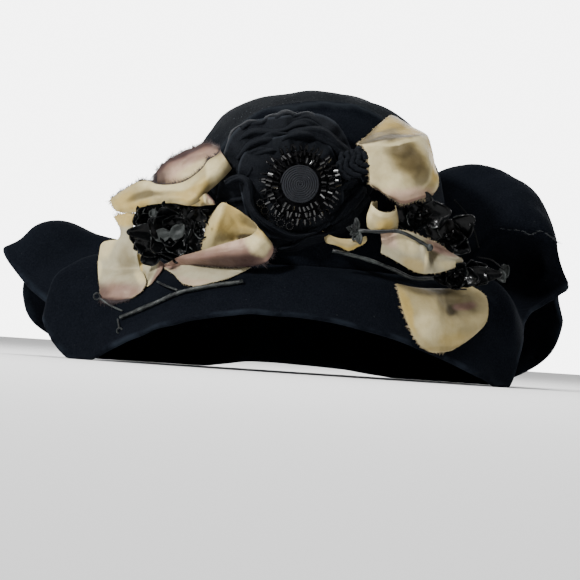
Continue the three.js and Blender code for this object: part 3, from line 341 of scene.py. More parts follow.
            [(54, 51, 1.5), (66, 50, 4), (78, 49, 5), (90, 50, 3), (107, 55, 3)],
            [(56.5, 43, 1.5), (67, 42, 4.5), (79, 41.5, 5), (91, 43, 2), (109, 47, 4)],
            [(60, 35, 1.5), (69, 35, 5), (80, 35, 5), (92, 36, 4.5), (108, 39, 4)],
            [(63.5, 28, 1.5), (72, 28, 4.5), (82, 28, 4.5), (92, 29, 4.5), (102.5, 32, 3)],
            [(69, 21.5, 2), (75, 22, 3), (82, 22.5, 3.5), (89, 23.5, 3), (95, 25.5, 2)],
            [(74.5, 18.5, 2), (78, 18.5, 2.5), (81, 19, 2.5), (84, 19.5, 2.5), (87.5, 20.5, 2)],
        ],
        "folds": [
            (75, 50, 89, 33, 5.0, 2.0, 0, 6), (85, 50, 92, 47, 3.4, -3.6, 0, 4),
            (94, 52, 96, 42, 2.4, 1.8, 0, 4), (60, 50, 72, 28, 5.0, -1.2, 1, 6),
            (66, 56, 84, 53, 2.5, 1.2, 0, 2),
        ],
        "frays": [("first", 330, 1.7, "pale"), ("finish", 70, 1.0, "pale"), ("last", 120, 0.8, "pale")],
        "on": "brim_velvet", "slot": "satin", "seed": 39, "base": "cream",
        "stains_and_painted_light": [
            (0.35, 0.04, 0.4, 0.12, 0, "gold", 0.7), (0.55, 0.3, 0.3, 0.25, 0, "ivory", 0.8),
            (0.2, 0.75, 0.26, 0.34, 0, "dusk", 0.85), (0.1, 0.5, 0.4, 0.06, 0, "dusk", 0.6),
            (0.28, 0.66, 0.1, 0.13, 0, "shade", 0.95), (0.24, 0.8, 0.07, 0.16, 0, "rose", 0.9),
            (0.75, 0.7, 0.2, 0.35, 0, "gold", 0.4), (0.02, 0.4, 0.12, 0.6, 0, "shade", 0.8),
            (0.92, 0.5, 0.1, 0.8, 0, "sand", 0.7),
        ],
    },
}
# Knot: rows across its sheet, x, z and lift of one end and then of the other.
KNOT = [
    (14, 128, -10, 23, 140, -10),
    (20, 125, -4, 29, 138, -5),
    (22, 124, -6, 31, 136, -7),
    (24, 122, -3, 33, 134, -4),
    (26, 121, -5, 34, 132, -6),
    (28, 118, -6, 36, 126, -6),
]

# ---------------------------------------------------------------- numbers
def smoothstep(low, high, value):
    t = np.clip((value - low) / (high - low), 0, 1)
    return t * t * (3 - 2 * t)


def spline(points, closed=False):
    """A centripetal Catmull-Rom curve through points, as a function of t from 0 to 1."""
    p = np.asarray(points, float)
    n = len(p)

    def at(t):
        u = np.atleast_1d(np.asarray(t, float)) * (n if closed else n - 1)
        i = np.floor(u).astype(int)
        if not closed:
            i = np.clip(i, 0, n - 2)
        w = (u - i)[:, None]
        if closed:
            a, b, c, d = p[(i - 1) % n], p[i % n], p[(i + 1) % n], p[(i + 2) % n]
        else:
            b, c = p[i], p[i + 1]
            a = np.where((i > 0)[:, None], p[np.maximum(i - 1, 0)], 2 * p[0] - p[1])
            d = np.where((i + 2 < n)[:, None], p[np.minimum(i + 2, n - 1)], 2 * p[-1] - p[-2])
        steps = [np.sqrt(np.linalg.norm(y - x, axis=1))[:, None] for x, y in ((a, b), (b, c), (c, d))]
        s1 = np.where(steps[1] < 1e-3, 1.0, steps[1])
        s0 = np.where(steps[0] < 1e-3, s1, steps[0])
        s2 = np.where(steps[2] < 1e-3, s1, steps[2])
        m1 = ((b - a) / s0 - (c - a) / (s0 + s1) + (c - b) / s1) * s1
        m2 = ((c - b) / s1 - (d - b) / (s1 + s2) + (d - c) / s2) * s1
        return b + m1 * w + (3 * (c - b) - 2 * m1 - m2) * w**2 + (2 * (b - c) + m1 + m2) * w**3

    return at


def swell(points, size, seed, waves=7):
    """Smooth noise of about unit height whose lumps are about size across."""
    rng = np.random.default_rng(seed)
    flat = points.reshape(-1, points.shape[-1])
    total = np.zeros(len(flat))
    for _ in range(waves):
        way = rng.normal(size=flat.shape[1])
        way *= TAU / size * rng.uniform(0.6, 1.4) / np.linalg.norm(way)
        total += np.sin(flat @ way + rng.uniform(0, TAU))
    return (total / math.sqrt(waves)).reshape(points.shape[:-1])


def unit(v):
    return v / np.maximum(np.linalg.norm(v, axis=-1, keepdims=True), 1e-9)


def place(points):
    return (np.asarray(points, float) + MID) / 1000


def normals_of(grid, around):
    if around:
        along = np.roll(grid, -1, 0) - np.roll(grid, 1, 0)
    else:
        along = np.gradient(grid, axis=0)
    across = np.gradient(grid, axis=1)
    return unit(np.cross(across, along))


# ---------------------------------------------------------------- meshes
def add_object(name, data):
    obj = bpy.data.objects.new(name, data)
    bpy.context.scene.collection.objects.link(obj)
    return obj


class Mesh:
    """Corners, faces and UVs gathered for one object, in millimetres."""

    def __init__(self):
        self.verts, self.faces, self.uvs, self.count = [], [], [], 0

    def add(self, verts, faces, uvs):
        """faces are tuples of corner numbers, uvs the matching tuples of (u, v)."""
        base = self.count
        self.verts.append(np.asarray(verts, float))
        self.count += len(verts)
        self.faces += [tuple(base + k for k in f) for f in faces]
        self.uvs += uvs

    def points(self):
        return np.concatenate(self.verts)

    def build(self, name, material, slot, nodes=(), smooth=True):
        mesh = bpy.data.meshes.new(name)
        mesh.from_pydata(place(self.points()).tolist(), [], self.faces)
        layer = mesh.uv_layers.new(name="UVMap")
        flat = np.array([xy for uv in self.uvs for xy in uv], np.float32)
        layer.data.foreach_set("uv", flat.ravel())
        if smooth:
            mesh.shade_smooth()
        obj = add_object(name, mesh)
        obj.data.materials.append(material)
        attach(obj, "root")
        if nodes:
            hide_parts(*nodes)
        return obj


def bands(rows, sides, around, v_of):
    """Quads and UVs between rows of corners, each row a loop. v_of has one value more than a row."""
    faces, uvs = [], []
    spans = rows if around else rows - 1
    for i in range(spans):
        a, b = i * sides, (i + 1) % rows * sides
        u0, u1 = i / spans, (i + 1) / spans
        for k in range(sides):
            m = (k + 1) % sides
            v0, v1 = v_of[k], v_of[k + 1]
            faces.append((a + k, a + m, b + m, b + k))
            uvs.append(((u0, v0), (u0, v1), (u1, v1), (u1, v0)))
    return faces, uvs


def add_wall(mesh, grid, thickness, around=False, edge_up=False, caps=3):
    """A closed wall of even thickness about a grid of points, with rounded edges."""
    grid = np.asarray(grid, float)
    rows, cols = grid.shape[:2]
    nrm = normals_of(grid, around)
    if edge_up:
        nrm[:, 0] = (0, 0, 1)
    half = thickness / 2
    start_caps = 0 if edge_up else caps
    turns = [math.pi * k / (caps + 1) for k in range(1, caps + 1)]

    def cap(edge, beside, sign):
        """Points that round off an edge, from one side of the wall to the other."""
        line, up, out = grid[:, edge], sign * nrm[:, edge], unit(grid[:, edge] - grid[:, beside])
        return np.stack([line + up * half * math.cos(a) + out * half * math.sin(a) for a in turns], 1)

    over, under = grid + nrm * half, grid - nrm * half
    ring = np.concatenate([over, cap(-1, -2, 1), under[:, ::-1], cap(0, 1, -1)[:, :start_caps]], 1)
    across = [j / (cols - 1) for j in range(cols)]
    v_of = across + [1.0] * caps + across[::-1] + [0.0] * start_caps
    sides = len(v_of)
    faces, uvs = bands(rows, sides, around, v_of + v_of[:1])
    if not around:
        low = 2 * cols + caps - 1
        ends = [
            ((j, j + 1, low - j - 1, low - j), (across[j], across[j + 1], across[j + 1], across[j]))
            for j in range(cols - 1)
        ]
        ends.append((range(cols - 1, cols + caps + 1), [1.0] * (caps + 2)))
        ends.append(([(low + k) % sides for k in range(start_caps + 2)], [0.0] * (start_caps + 2)))
        for u, base, step in ((0.0, 0, -1), (1.0, (rows - 1) * sides, 1)):
            faces += [tuple(base + k for k in corners)[::step] for corners, _ in ends]
            uvs += [tuple((u, v) for v in vs)[::step] for _, vs in ends]
    mesh.add(ring.reshape(-1, 3), faces, uvs)


def add_tube(mesh, path, radius, sides=8, closed=False, taper=None, twist=0.0):
    """A round tube along a path of points. taper gives each point's share of radius."""
    path = np.asarray(path, float)
    n = len(path)
    tangent = unit(np.roll(path, -1, 0) - np.roll(path, 1, 0)) if closed else unit(np.gradient(path, axis=0))
    up = np.array([0.0, -1.0, 0.05])
    side = unit(np.cross(tangent, up) + 1e-6)
    other = unit(np.cross(side, tangent))
    share = np.ones(n) if taper is None else np.asarray(taper, float)
    turn = np.arange(sides) * TAU / sides + twist
    ring = (
        path[:, None]
        + (radius * share)[:, None, None]
        * (np.cos(turn)[None, :, None] * side[:, None] + np.sin(turn)[None, :, None] * other[:, None])
    )
    faces, uvs = bands(n, sides, closed, [k / sides for k in range(sides + 1)])
    if not closed:
        faces += [tuple(range(sides))[::-1], tuple(range((n - 1) * sides, n * sides))]
        uvs += [((0.0, 0.0),) * sides, ((1.0, 0.0),) * sides]
    mesh.add(ring.reshape(-1, 3), faces, uvs)


def add_ball(mesh, centre, radius, rings=8, sides=12):
    verts, faces, uvs = [], [], []
    for i in range(rings + 1):
        tilt = math.pi * i / rings
        for k in range(sides):
            turn = TAU * k / sides
            p = (math.sin(tilt) * math.cos(turn), math.sin(tilt) * math.sin(turn), math.cos(tilt))
            verts.append([centre[d] + radius * p[d] for d in range(3)])
            if i < rings:
                a, b, m = i * sides, (i + 1) * sides, (k + 1) % sides
                faces.append((a + k, b + k, b + m, a + m))
                uvs.append(((k / sides, i / rings),) * 4)
    mesh.add(verts, faces, uvs)


# ---------------------------------------------------------------- materials
BLACK, WHITE = (0, 0, 0), (1, 1, 1)


def add_node(tree, kind, inputs, **settings):
    """A node with its settings and inputs; an input is a value or another node's output."""
    node = tree.nodes.new("ShaderNode" + kind)
    for key, value in settings.items():
        setattr(node, key, value)
    for key, value in inputs.items():
        if isinstance(value, bpy.types.NodeSocket):
            tree.links.new(value, node.inputs[key])
        else:
            node.inputs[key].default_value = value
    return node


def material(name, base, roughness, **sockets):
    """A node material; base is a colour or a function that gives the colour's output socket."""
    mat = bpy.data.materials.new(name)
    mat.use_nodes = True
    tree = mat.node_tree
    shader = tree.nodes["Principled BSDF"]
    shader.inputs["Roughness"].default_value = roughness
    for key, value in sockets.items():
        shader.inputs[key.replace("_", " ")].default_value = value
    if callable(base):
        tree.links.new(base(tree), shader.inputs["Base Color"])
    else:
        shader.inputs["Base Color"].default_value = (*base, 1)
    return mat


def coords(tree, kind="Object"):
    return add_node(tree, "TexCoord", {}).outputs[kind]


def axis_of(tree, kind, axis):
    return add_node(tree, "SeparateXYZ", {0: coords(tree, kind)}).outputs[axis]


def noise(tree, scale, detail=4.0, rough=0.55, stretch=None):
    source = coords(tree)
    if stretch:
        source = add_node(tree, "Mapping", {"Vector": source, "Scale": stretch}).outputs["Vector"]
    grain = {"Vector": source, "Scale": scale, "Detail": detail, "Roughness": rough}
    return add_node(tree, "TexNoise", grain).outputs["Fac"]


def ramp(tree, fac, stops):
    node = add_node(tree, "ValToRGB", {"Fac": fac})
    elements = node.color_ramp.elements
    while len(elements) < len(stops):
        elements.new(0.5)
    for element, (at, colour) in zip(elements, stops):
        element.position = at
        element.color = (*colour, 1)
    return node.outputs["Color"]


def spots(tree, low, high, *grain):
    """Noise that is black up to low and white from high."""
    return ramp(tree, noise(tree, *grain), [(low, BLACK), (high, WHITE)])


def mix(tree, fac, a, b, kind="MIX"):
    a, b = ((*colour, 1) if isinstance(colour, tuple) else colour for colour in (a, b))
    return add_node(tree, "Mix", {0: fac, 6: a, 7: b}, data_type="RGBA", blend_type=kind).outputs[2]


def math_node(tree, kind, *values):
    return add_node(tree, "Math", dict(enumerate(values)), operation=kind).outputs[0]


def times(tree, a, b):
    return math_node(tree, "MULTIPLY", a, b)


def bump(mat, grain, strength, distance):
    """Adds a bump of noise to a material; distance is in metres. Bumps stack."""
    tree = mat.node_tree
    socket = tree.nodes["Principled BSDF"].inputs["Normal"]
    inputs = {"Height": noise(tree, *grain), "Strength": strength, "Distance": distance}
    if socket.links:
        inputs["Normal"] = socket.links[0].from_socket
    tree.links.new(add_node(tree, "Bump", inputs).outputs["Normal"], socket)


def past(tree, axis, at):
    """How far an object coordinate is past at, in metres."""
    return math_node(tree, "SUBTRACT", axis_of(tree, "Object", axis), at)


def near_line(tree, axis, at, reach):
    """1 on the plane where an object coordinate, in metres, is at, falling to 0 at reach from it."""
    wander = math_node(tree, "MULTIPLY_ADD", noise(tree, 30, 3), 0.012, -0.006)
    off = math_node(tree, "ABSOLUTE", math_node(tree, "ADD", past(tree, axis, at), wander))
    return ramp(tree, math_node(tree, "DIVIDE", off, reach), [(0.0, WHITE), (1.0, BLACK)])


def behind(tree, axis, at, reach):
    """0 before the plane where an object coordinate is at, rising to 1 at reach past it."""
    share = math_node(tree, "DIVIDE", past(tree, axis, at), reach)
    return ramp(tree, share, [(0.0, BLACK), (1.0, WHITE)])


def velvet_colour(tree):
    dark = mix(tree, spots(tree, 0.35, 0.72, 16, 5, 0.6), (0.0016, 0.0021, 0.0034), (0.0034, 0.0044, 0.0066))
    fuzzy = mix(tree, spots(tree, 0.4, 0.75, 1300, 3, 0.7), dark, (0.0070, 0.0085, 0.0115))
    return mix(tree, spots(tree, 0.745, 0.80, 420, 2, 0.5), fuzzy, (0.022, 0.024, 0.026))


def crown_colour(tree):
    """The pile is lighter and dustier behind the fold: dust, and painted light on the top that faces up. A
    pale line along the fold's edge is a painted sheen highlight.
    """
    # top: behind the fold and high up, where dust lies and where the painted top light goes; the specks are
    # dust.
    top = times(tree, behind(tree, 1, (FOLD_Y - 2 + MID[1]) / 1000, 0.006), behind(tree, 2, 0.125, 0.03))
    grain = spots(tree, 0.38, 0.72, 1000, 4, 0.75)
    wear_and_painted_light = mix(tree, grain, (0.0045, 0.0052, 0.0062), (0.0150, 0.0165, 0.0180))
    colour = mix(tree, top, velvet_colour(tree), wear_and_painted_light)
    specks = times(tree, spots(tree, 0.68, 0.74, 520, 2, 0.5), top)
    colour = mix(tree, specks, colour, (0.060, 0.065, 0.070))
    # Painted sheen highlight along the fold's edge.
    edge = near_line(tree, 1, (FOLD_Y - 1.5 + MID[1]) / 1000, 0.0022)
    edge = times(tree, edge, behind(tree, 2, 0.115, 0.02))
    return mix(tree, times(tree, edge, 0.8), colour, (0.015, 0.018, 0.022))


def brim_colour(tree):
    # A paler band along the rim, broken into patches: painted sheen highlight on the rolled edge.
    rim = ramp(tree, axis_of(tree, "UV", 1), [(0.965, BLACK), (0.992, WHITE)])
    wear_and_painted_light = times(tree, rim, spots(tree, 0.42, 0.62, 60, 4))
    return mix(tree, wear_and_painted_light, velvet_colour(tree), (0.010, 0.013, 0.018))


def velvet(name, colour):
    mat = material(
        name, colour, 0.9,
        Sheen_Weight=0.020, Sheen_Roughness=0.38, Sheen_Tint=(0.62, 0.72, 0.9, 1), Specular_IOR_Level=0.008,
    )
    bump(mat, (1400, 3, 0.65), 0.6, 0.0005)
    bump(mat, (75, 4, 0.55), 0.4, 0.0022)
    return mat


# Satin colours. "shade", and at times "dusk", serve as painted shade, and "ivory" also serves for painted
# highlight lines. Otherwise they are the satin's own colouring.
PALETTE = {
    "ivory": (0.55, 0.475, 0.27),
    "cream": (0.37, 0.305, 0.155),
    "pearl": (0.36, 0.33, 0.225),
    "gold": (0.44, 0.31, 0.085),
    "sand": (0.26, 0.20, 0.085),
    "dusk": (0.16, 0.132, 0.075),
    "shade": (0.050, 0.038, 0.019),
    "pink": (0.42, 0.28, 0.215),
    "rose": (0.19, 0.115, 0.095),
    "mauve": (0.040, 0.024, 0.024),
}


def wandering_uv(tree, scale, reach):
    """UVs whose lines wander by reach, so that no soft mark, painted shade and painted highlights included,
    has a drawn outline.
    """
    cloud = add_node(tree, "TexNoise", {"Vector": coords(tree), "Scale": scale, "Detail": 5})
    shift = {0: cloud.outputs["Color"], 1: (reach, reach * 2, 0), 2: (-reach / 2, -reach, 0)}
    shift = add_node(tree, "VectorMath", shift, operation="MULTIPLY_ADD")
    return add_node(tree, "VectorMath", {0: coords(tree, "UV"), 1: shift.outputs[0]}).outputs[0]


# One soft mark of colour: the satin's own colouring, painted shade or a painted highlight.
def stain_and_light_mark(tree, uv, mark):
    u, v, reach_u, reach_v, turned, _, strength = mark
    place_of = {
        "Vector": uv, "Location": (u, v, 0), "Rotation": (0, 0, math.radians(turned)),
        "Scale": (reach_u, reach_v, 1),
    }
    mapping = add_node(tree, "Mapping", place_of, vector_type="TEXTURE")
    ball = add_node(tree, "TexGradient", {"Vector": mapping.outputs["Vector"]}, gradient_type="SPHERICAL")
    soft = {"Value": ball.outputs["Fac"], "From Max": 0.6, "To Max": strength}
    return add_node(tree, "MapRange", soft, interpolation_type="SMOOTHSTEP").outputs["Result"]


def satin(name, base, stains_and_painted_light):
    def build(tree):
        uv = wandering_uv(tree, 55, 0.10)
        tone = mix(tree, noise(tree, 45, 4), PALETTE[base], PALETTE["dusk"])
        colour = mix(tree, 0.75, tone, PALETTE[base])
        for mark in stains_and_painted_light:
            colour = mix(tree, stain_and_light_mark(tree, uv, mark), colour, PALETTE[mark[5]])
        cloud = ramp(tree, noise(tree, 130, 6, 0.65), [(0.40, WHITE), (0.72, (0.70, 0.64, 0.52))])
        return mix(tree, 0.6, colour, cloud, "MULTIPLY")

    mat = material(
        name, build, 0.42,
        Sheen_Weight=0.02, Specular_IOR_Level=0.20, Specular_Tint=(1.0, 0.84, 0.58, 1),
    )
    bump(mat, (1500, 2, 0.6, (1, 1, 0.25)), 0.2, 0.0002)
    bump(mat, (60, 5, 0.6), 0.30, 0.0040)
    return mat


def chiffon_colour(tree):
    weave = spots(tree, 0.35, 0.7, 1500, 2, 0.6)
    tone = mix(tree, noise(tree, 45, 3), (0.0012, 0.0016, 0.0025), (0.0040, 0.0049, 0.0068))
    edge = ramp(tree, axis_of(tree, "UV", 1), [(0.0, WHITE), (0.06, BLACK), (0.94, BLACK), (1.0, WHITE)])
    return mix(tree, edge, mix(tree, weave, tone, (0.0080, 0.0094, 0.0122)), (0.017, 0.020, 0.025))


def lacquer_colour(tree):
    off = math_node(tree, "ABSOLUTE", math_node(tree, "SUBTRACT", axis_of(tree, "UV", 1), 0.5))
    # A pale broken line along the petals' edges: painted highlight on their thin edges. The light spots on
    # the body are scuffs.
    rim = ramp(tree, off, [(0.478, BLACK), (0.5, WHITE)])
    body = mix(tree, noise(tree, 160, 4), (0.0005, 0.0006, 0.0008), (0.0024, 0.0028, 0.0031))
    body = mix(tree, spots(tree, 0.70, 0.78, 520, 3, 0.6), body, (0.022, 0.024, 0.024))
    wear_and_painted_light = times(tree, rim, spots(tree, 0.54, 0.66, 190, 4))
    return mix(tree, wear_and_painted_light, body, (0.055, 0.060, 0.058))


def stem_colour(tree):
    wear_and_painted_light = spots(tree, 0.45, 0.70, 160, 5, 0.65)
    return mix(tree, wear_and_painted_light, (0.005, 0.0065, 0.007), (0.050, 0.057, 0.054))


def two_tone(name, grain, dark, light, roughness, **sockets):
    """A material whose colour wanders between two tones."""
    return material(name, lambda tree: mix(tree, noise(tree, *grain), dark, light), roughness, **sockets)


VELVET_CROWN = velvet("velvet_crown", crown_colour)
VELVET_BRIM = velvet("velvet_brim", brim_colour)
CHIFFON_MAT = material(
    "chiffon", chiffon_colour, 0.8, Sheen_Weight=0.008, Sheen_Roughness=0.4, Sheen_Tint=(0.6, 0.72, 0.95, 1),
    Specular_IOR_Level=0.06,
)
bump(CHIFFON_MAT, (1800, 2, 0.6), 0.3, 0.0003)
bump(CHIFFON_MAT, (240, 3, 0.6, (1, 1, 0.4)), 0.30, 0.0012)
CORD_MAT = two_tone(
    "cord", (700, 3), (0.004, 0.0046, 0.006), (0.017, 0.019, 0.024), 0.6,
    Sheen_Weight=0.05, Specular_IOR_Level=0.12,
)
BEAD_MAT = two_tone(
    "black_bead", (200, 2), (0.0006, 0.0006, 0.0008), (0.003, 0.003, 0.0035), 0.10,
    Specular_IOR_Level=0.45, Coat_Weight=0.3, Coat_Roughness=0.06,
)
DISC_MAT = two_tone(
    "black_backing", (900, 3), (0.0008, 0.0008, 0.001), (0.0045, 0.0045, 0.0055), 0.85,
    Specular_IOR_Level=0.04,
)
LACQUER_MAT = material(
    "lacquer", lacquer_colour, 0.28, Specular_IOR_Level=0.07, Coat_Weight=0.10, Coat_Roughness=0.10,
)
bump(LACQUER_MAT, (240, 4), 0.6, 0.0016)
GREY_PETAL = two_tone(
    "grey_petal", (330, 4), (0.008, 0.010, 0.010), (0.045, 0.050, 0.048), 0.5, Specular_IOR_Level=0.15,
)
bump(GREY_PETAL, (420, 4), 0.5, 0.0010)
STEM_MAT = material("stem", stem_colour, 0.42, Specular_IOR_Level=0.28)
bump(STEM_MAT, (450, 3), 0.6, 0.0008)
SATIN_LOOKS = {name: satin(name + "_look", row["base"], row["stains_and_painted_light"]) for name, row in SATINS.items()}
THREAD_PALE = two_tone("thread_pale", (300, 2), (0.26, 0.19, 0.09), (0.50, 0.42, 0.26), 0.6)
THREAD_DARK = two_tone("thread_dark", (300, 2), (0.008, 0.005, 0.006), (0.055, 0.036, 0.036), 0.8)
THREAD_GREY = two_tone("thread_grey", (300, 2), (0.006, 0.008, 0.010), (0.075, 0.080, 0.085), 0.9)


# ---------------------------------------------------------------- crown
def base_radius(angle, extra=0.0):
    """The radius of the crown's oval foot, grown by extra."""
    a, b = CROWN_A + extra, CROWN_B + extra
    return a * b / np.hypot(b * np.cos(angle), a * np.sin(angle))


def base_height(angle):
    return BASE_MID - BASE_TILT * np.sin(angle)


def polar(radius, angle, height):
    return np.stack([radius * np.cos(angle), radius * np.sin(angle), height], -1)


def crown_points(angle, rise, inset):
    turn = rise * math.pi / 2
    outwards = np.cos(turn) ** (2 / CROWN_POWER)
    upwards = np.sin(turn) ** (2 / CROWN_POWER)
    bottom = base_height(angle)
    height = bottom + (CROWN_TOP - inset - bottom) * upwards
    p = polar(base_radius(angle, -inset) * outwards, angle, height)
    over_base = np.maximum(0, p[..., 2] - BASE_MID)
    out = unit(np.stack([p[..., 0] / CROWN_A, p[..., 1] / CROWN_B, over_base / CROWN_TOP], -1))
    proud = FOLD_STEP * (smoothstep(FOLD_Y - FOLD_SOFT, FOLD_Y, p[..., 1]) - 1) * smoothstep(0.12, 0.3, rise)
    return p + out * proud[..., None], out


def crown_grid():
    around, up = 180, 90
    angle = np.arange(around)[:, None] * TAU / around
    t = np.linspace(0, 0.9995, up)[None, :]
    rise = 0.55 * t + 0.45 * t * t
    angle, rise = np.broadcast_arrays(angle, rise)
    p, out = crown_points(angle, rise, VELVET / 2)
    quiet = smoothstep(0.03, 0.25, rise)
    dents = 1.1 * swell(p, 62, 11) + 0.5 * swell(p, 26, 12)
    ridge = FOLD_RIDGE * np.exp(-(((p[..., 1] - FOLD_Y) / 2.2) ** 2)) * smoothstep(95, 120, p[..., 2])
    p = p + out * (dents * quiet + ridge)[..., None]
    p[:, 0, 2] -= 3
    return p


crown_mesh = Mesh()
add_wall(crown_mesh, crown_grid(), VELVET, around=True)
CROWN = crown_mesh.build("crown_velvet", VELVET_CROWN, "velvet", ["crown"])


# ---------------------------------------------------------------- brim
def brim_grid():
    at, swing, tuck, *rings = np.array(BRIM, float).T
    radii, heights = rings[::2], rings[1::2]
    lines = [polar(base_radius(np.radians(at), GAP), np.radians(at), base_height(np.radians(at)))]
    for radius, height in zip(radii[:-1], heights):
        share = np.maximum(0, (radius - CROWN_B) / (radii[-1] - CROWN_B))
        lines.append(polar(radius, np.radians(at + swing * share + tuck), height))
    lines.append(polar(radii[-1], np.radians(at + swing), heights[-1]))
    count = len(BRIM) * BRIM_PER_SECTION
    t = np.arange(count) / count
    knots = np.stack([spline(line, closed=True)(t) for line in lines], 1)
    v = np.linspace(0, 1, BRIM_ACROSS)
    grid = np.stack([spline(row)(v) for row in knots])
    angle = np.arctan2(grid[:, 0, 1], grid[:, 0, 0])
    grid[:, 0] = polar(base_radius(angle, GAP), angle, base_height(angle))
    return grid


def soften(grid, passes):
    """Rounds the small kinks of a grid that closes round, keeping its first and last rings."""
    for _ in range(passes):
        around = (np.roll(grid, 1, 0) + np.roll(grid, -1, 0)) / 2
        inner = grid.copy()
        inner[:, 1:-1] = (grid[:, :-2] + grid[:, 2:]) / 2
        grid = grid * 0.5 + around * 0.3 + inner * 0.2
    return grid


def brim_solid_grid():
    raw = brim_grid()
    grid = soften(raw, 6)
    grid[:, 0] = raw[:, 0]
    nrm = normals_of(grid, True)
    v = np.linspace(0, 1, BRIM_ACROSS)[None, :]
    quiet = smoothstep(0.08, 0.35, v) * np.ones((len(grid), 1))
    lumps = 0.9 * swell(grid, 55, 21) + 0.45 * swell(grid, 22, 22)
    grid = grid + nrm * (lumps * quiet)[..., None]
    grid[..., 2] = np.maximum(grid[..., 2], VELVET / 2)
    return grid


brim_mesh = Mesh()
add_wall(brim_mesh, brim_solid_grid(), VELVET, around=True, edge_up=True)
for part in brim_mesh.verts:
    part[:, 2] = np.maximum(part[:, 2], 0.05)
BRIM_OBJ = brim_mesh.build("brim_velvet", VELVET_BRIM, "velvet", ["brim"])

carriers = [BVHTree.FromPolygons(m.points().tolist(), m.faces) for m in (crown_mesh, brim_mesh)]


def velvet_front(x, z, stand=0.0):
    """The y that is stand off the front of the velvet at x, z; far behind where there is none."""
    best = NOWHERE
    for tree in carriers:
        hit, normal, _, _ = tree.ray_cast(Vector((x, -NOWHERE, z)), Vector((0, 1, 0)))
        if hit is not None:
            best = min(best, hit.y - stand / max(0.3, abs(normal.y)))
    return best


def on_veil(x, z, lift):
    """The point lift in front of the veil's surface, or of the velvet where that is further forward."""
    hang = max(0, z - VEIL["knee"]) * VEIL["lean"] + max(0, VEIL["hem"] - z) * VEIL["tuck"]
    return np.array([x, min(VEIL["front"] + VEIL["curve"] * x * x + hang, velvet_front(x, z)) - lift, z])


# ---------------------------------------------------------------- cloth pieces
def cloth_area(mesh):
    """Half the surface of closed walls, in square metres: the cloth in them."""
    points = mesh.points()
    corners = [(f[0], f[k], f[k + 1]) for f in mesh.faces for k in range(1, len(f) - 1)]
    a, b, c = (points[list(column)] for column in zip(*corners))
    return float(np.linalg.norm(np.cross(b - a, c - a), axis=1).sum()) / 4e6


def declare_sheet(mesh):
    """Works out the cloth area of a piece, in square metres; nothing uses the result."""
    area = cloth_area(mesh)


def keep_off(grid, stand):
    for line in grid:
        for p in line:
            p[1] = min(p[1], velvet_front(p[0], p[2], stand))


def patch_grid(rows, folds=(), seed=1, along=9, across=24, ripple=0.35, thickness=SATIN):
    """A sheet through rows of (x, z, lift) points, creased along its folds and held off the velvet."""
    s = np.linspace(0, 1, across + 1)
    lines = np.array([spline([on_veil(*p) for p in row])(s) for row in rows])
    t = np.linspace(0, 1, (len(rows) - 1) * along + 1)
    grid = np.stack([spline(lines[:, j])(t) for j in range(across + 1)], 1)
    row_of = (t * (len(rows) - 1))[:, None]
    flat = grid[..., [0, 2]]
    rise = ripple * (swell(flat, 15, seed) + 0.45 * swell(flat, 6, seed + 50))
    for x0, z0, x1, z1, wide, high, first, last in folds:
        a, b = np.array([x0, z0]), np.array([x1, z1])
        share = np.clip(((flat - a) @ (b - a)) / ((b - a) @ (b - a)), 0, 1)
        off = np.linalg.norm(flat - (a + share[..., None] * (b - a)), axis=-1)
        taper = 0.35 + 0.65 * np.sin(math.pi * (0.1 + 0.8 * share))
        begun = smoothstep(first - 0.8, first + 0.2, row_of)
        there = begun * (1 - smoothstep(last - 0.2, last + 0.8, row_of))
        rise = rise + 1.2 * high * np.exp(-((off / wide) ** 2)) * taper * there
    grid[..., 1] -= rise
    keep_off(grid, thickness / 2 + CLEAR)
    y = grid[..., 1]
    for _ in range(2):
        y[1:-1, 1:-1] = (y[1:-1, 1:-1] * 2 + y[:-2, 1:-1] + y[2:, 1:-1] + y[1:-1, :-2] + y[1:-1, 2:]) / 6
    keep_off(grid, thickness / 2 + CLEAR)
    return grid


def fringe(mesh, line, outward, count, length, seed, radius=0.15):
    """Loose threads that stand off an edge. line and outward are arrays of points and directions."""
    rng = random.Random(seed)
    place_at = spline(line)
    way_at = spline(outward)
    clump = swell(np.linspace(0, 60, 400)[:, None], 4, seed)
    last = len(clump) - 1
    for _ in range(count):
        t = rng.random()
        root = place_at(t)[0]
        way = unit(way_at(t)[0])
        drift = np.array([rng.gauss(0, 0.28), rng.gauss(0, 0.22), rng.gauss(0, 0.28)])
        long = length * rng.uniform(0.45, 1.0) * (1 + 0.35 * clump[int(t * last)])
        mid = root + (way + drift * 0.4) * long * 0.5
        tip = root + (way + drift) * long
        add_tube(mesh, [root - way * 0.4, mid, tip], radius, sides=3, taper=[1.0, 0.8, 0.3])


def edge_of(grid, side):
    """The line and the outward direction of one edge of a grid."""
    turned_grid = grid.swapaxes(0, 1)
    lines = {"first": turned_grid, "last": turned_grid[::-1], "start": grid, "finish": grid[::-1]}[side]
    return lines[0], unit(lines[0] - lines[1])


# ---------------------------------------------------------------- rosette
def on_rosette(r, angle, up):
    y = ROSETTE["y"] - up + ROSETTE["fall"] * r * r
    return np.stack([ROSETTE["x"] + r * np.cos(angle), y, ROSETTE["z"] + r * np.sin(angle)], -1)


def ruffle_grid(inner, outer, uneven, lobes, stand, depth, wave, folds, swirl, start, around=260, out=26):
    angle = np.arange(around)[:, None] * TAU / around
    t = np.linspace(0, 1, out)[None, :]
    fold = np.cos(folds * angle + swirl * t + start + 0.5 * np.sin(2 * angle))
    slow = np.cos(lobes * angle + start)
    r = inner + (outer + uneven * slow - inner) * t
    up = stand + depth * np.sin(math.pi * t * 0.8) + wave * t * fold
    up = up + 0.6 * t * np.cos(3 * folds * angle - swirl)
    return on_rosette(r, angle + 0 * t, up)


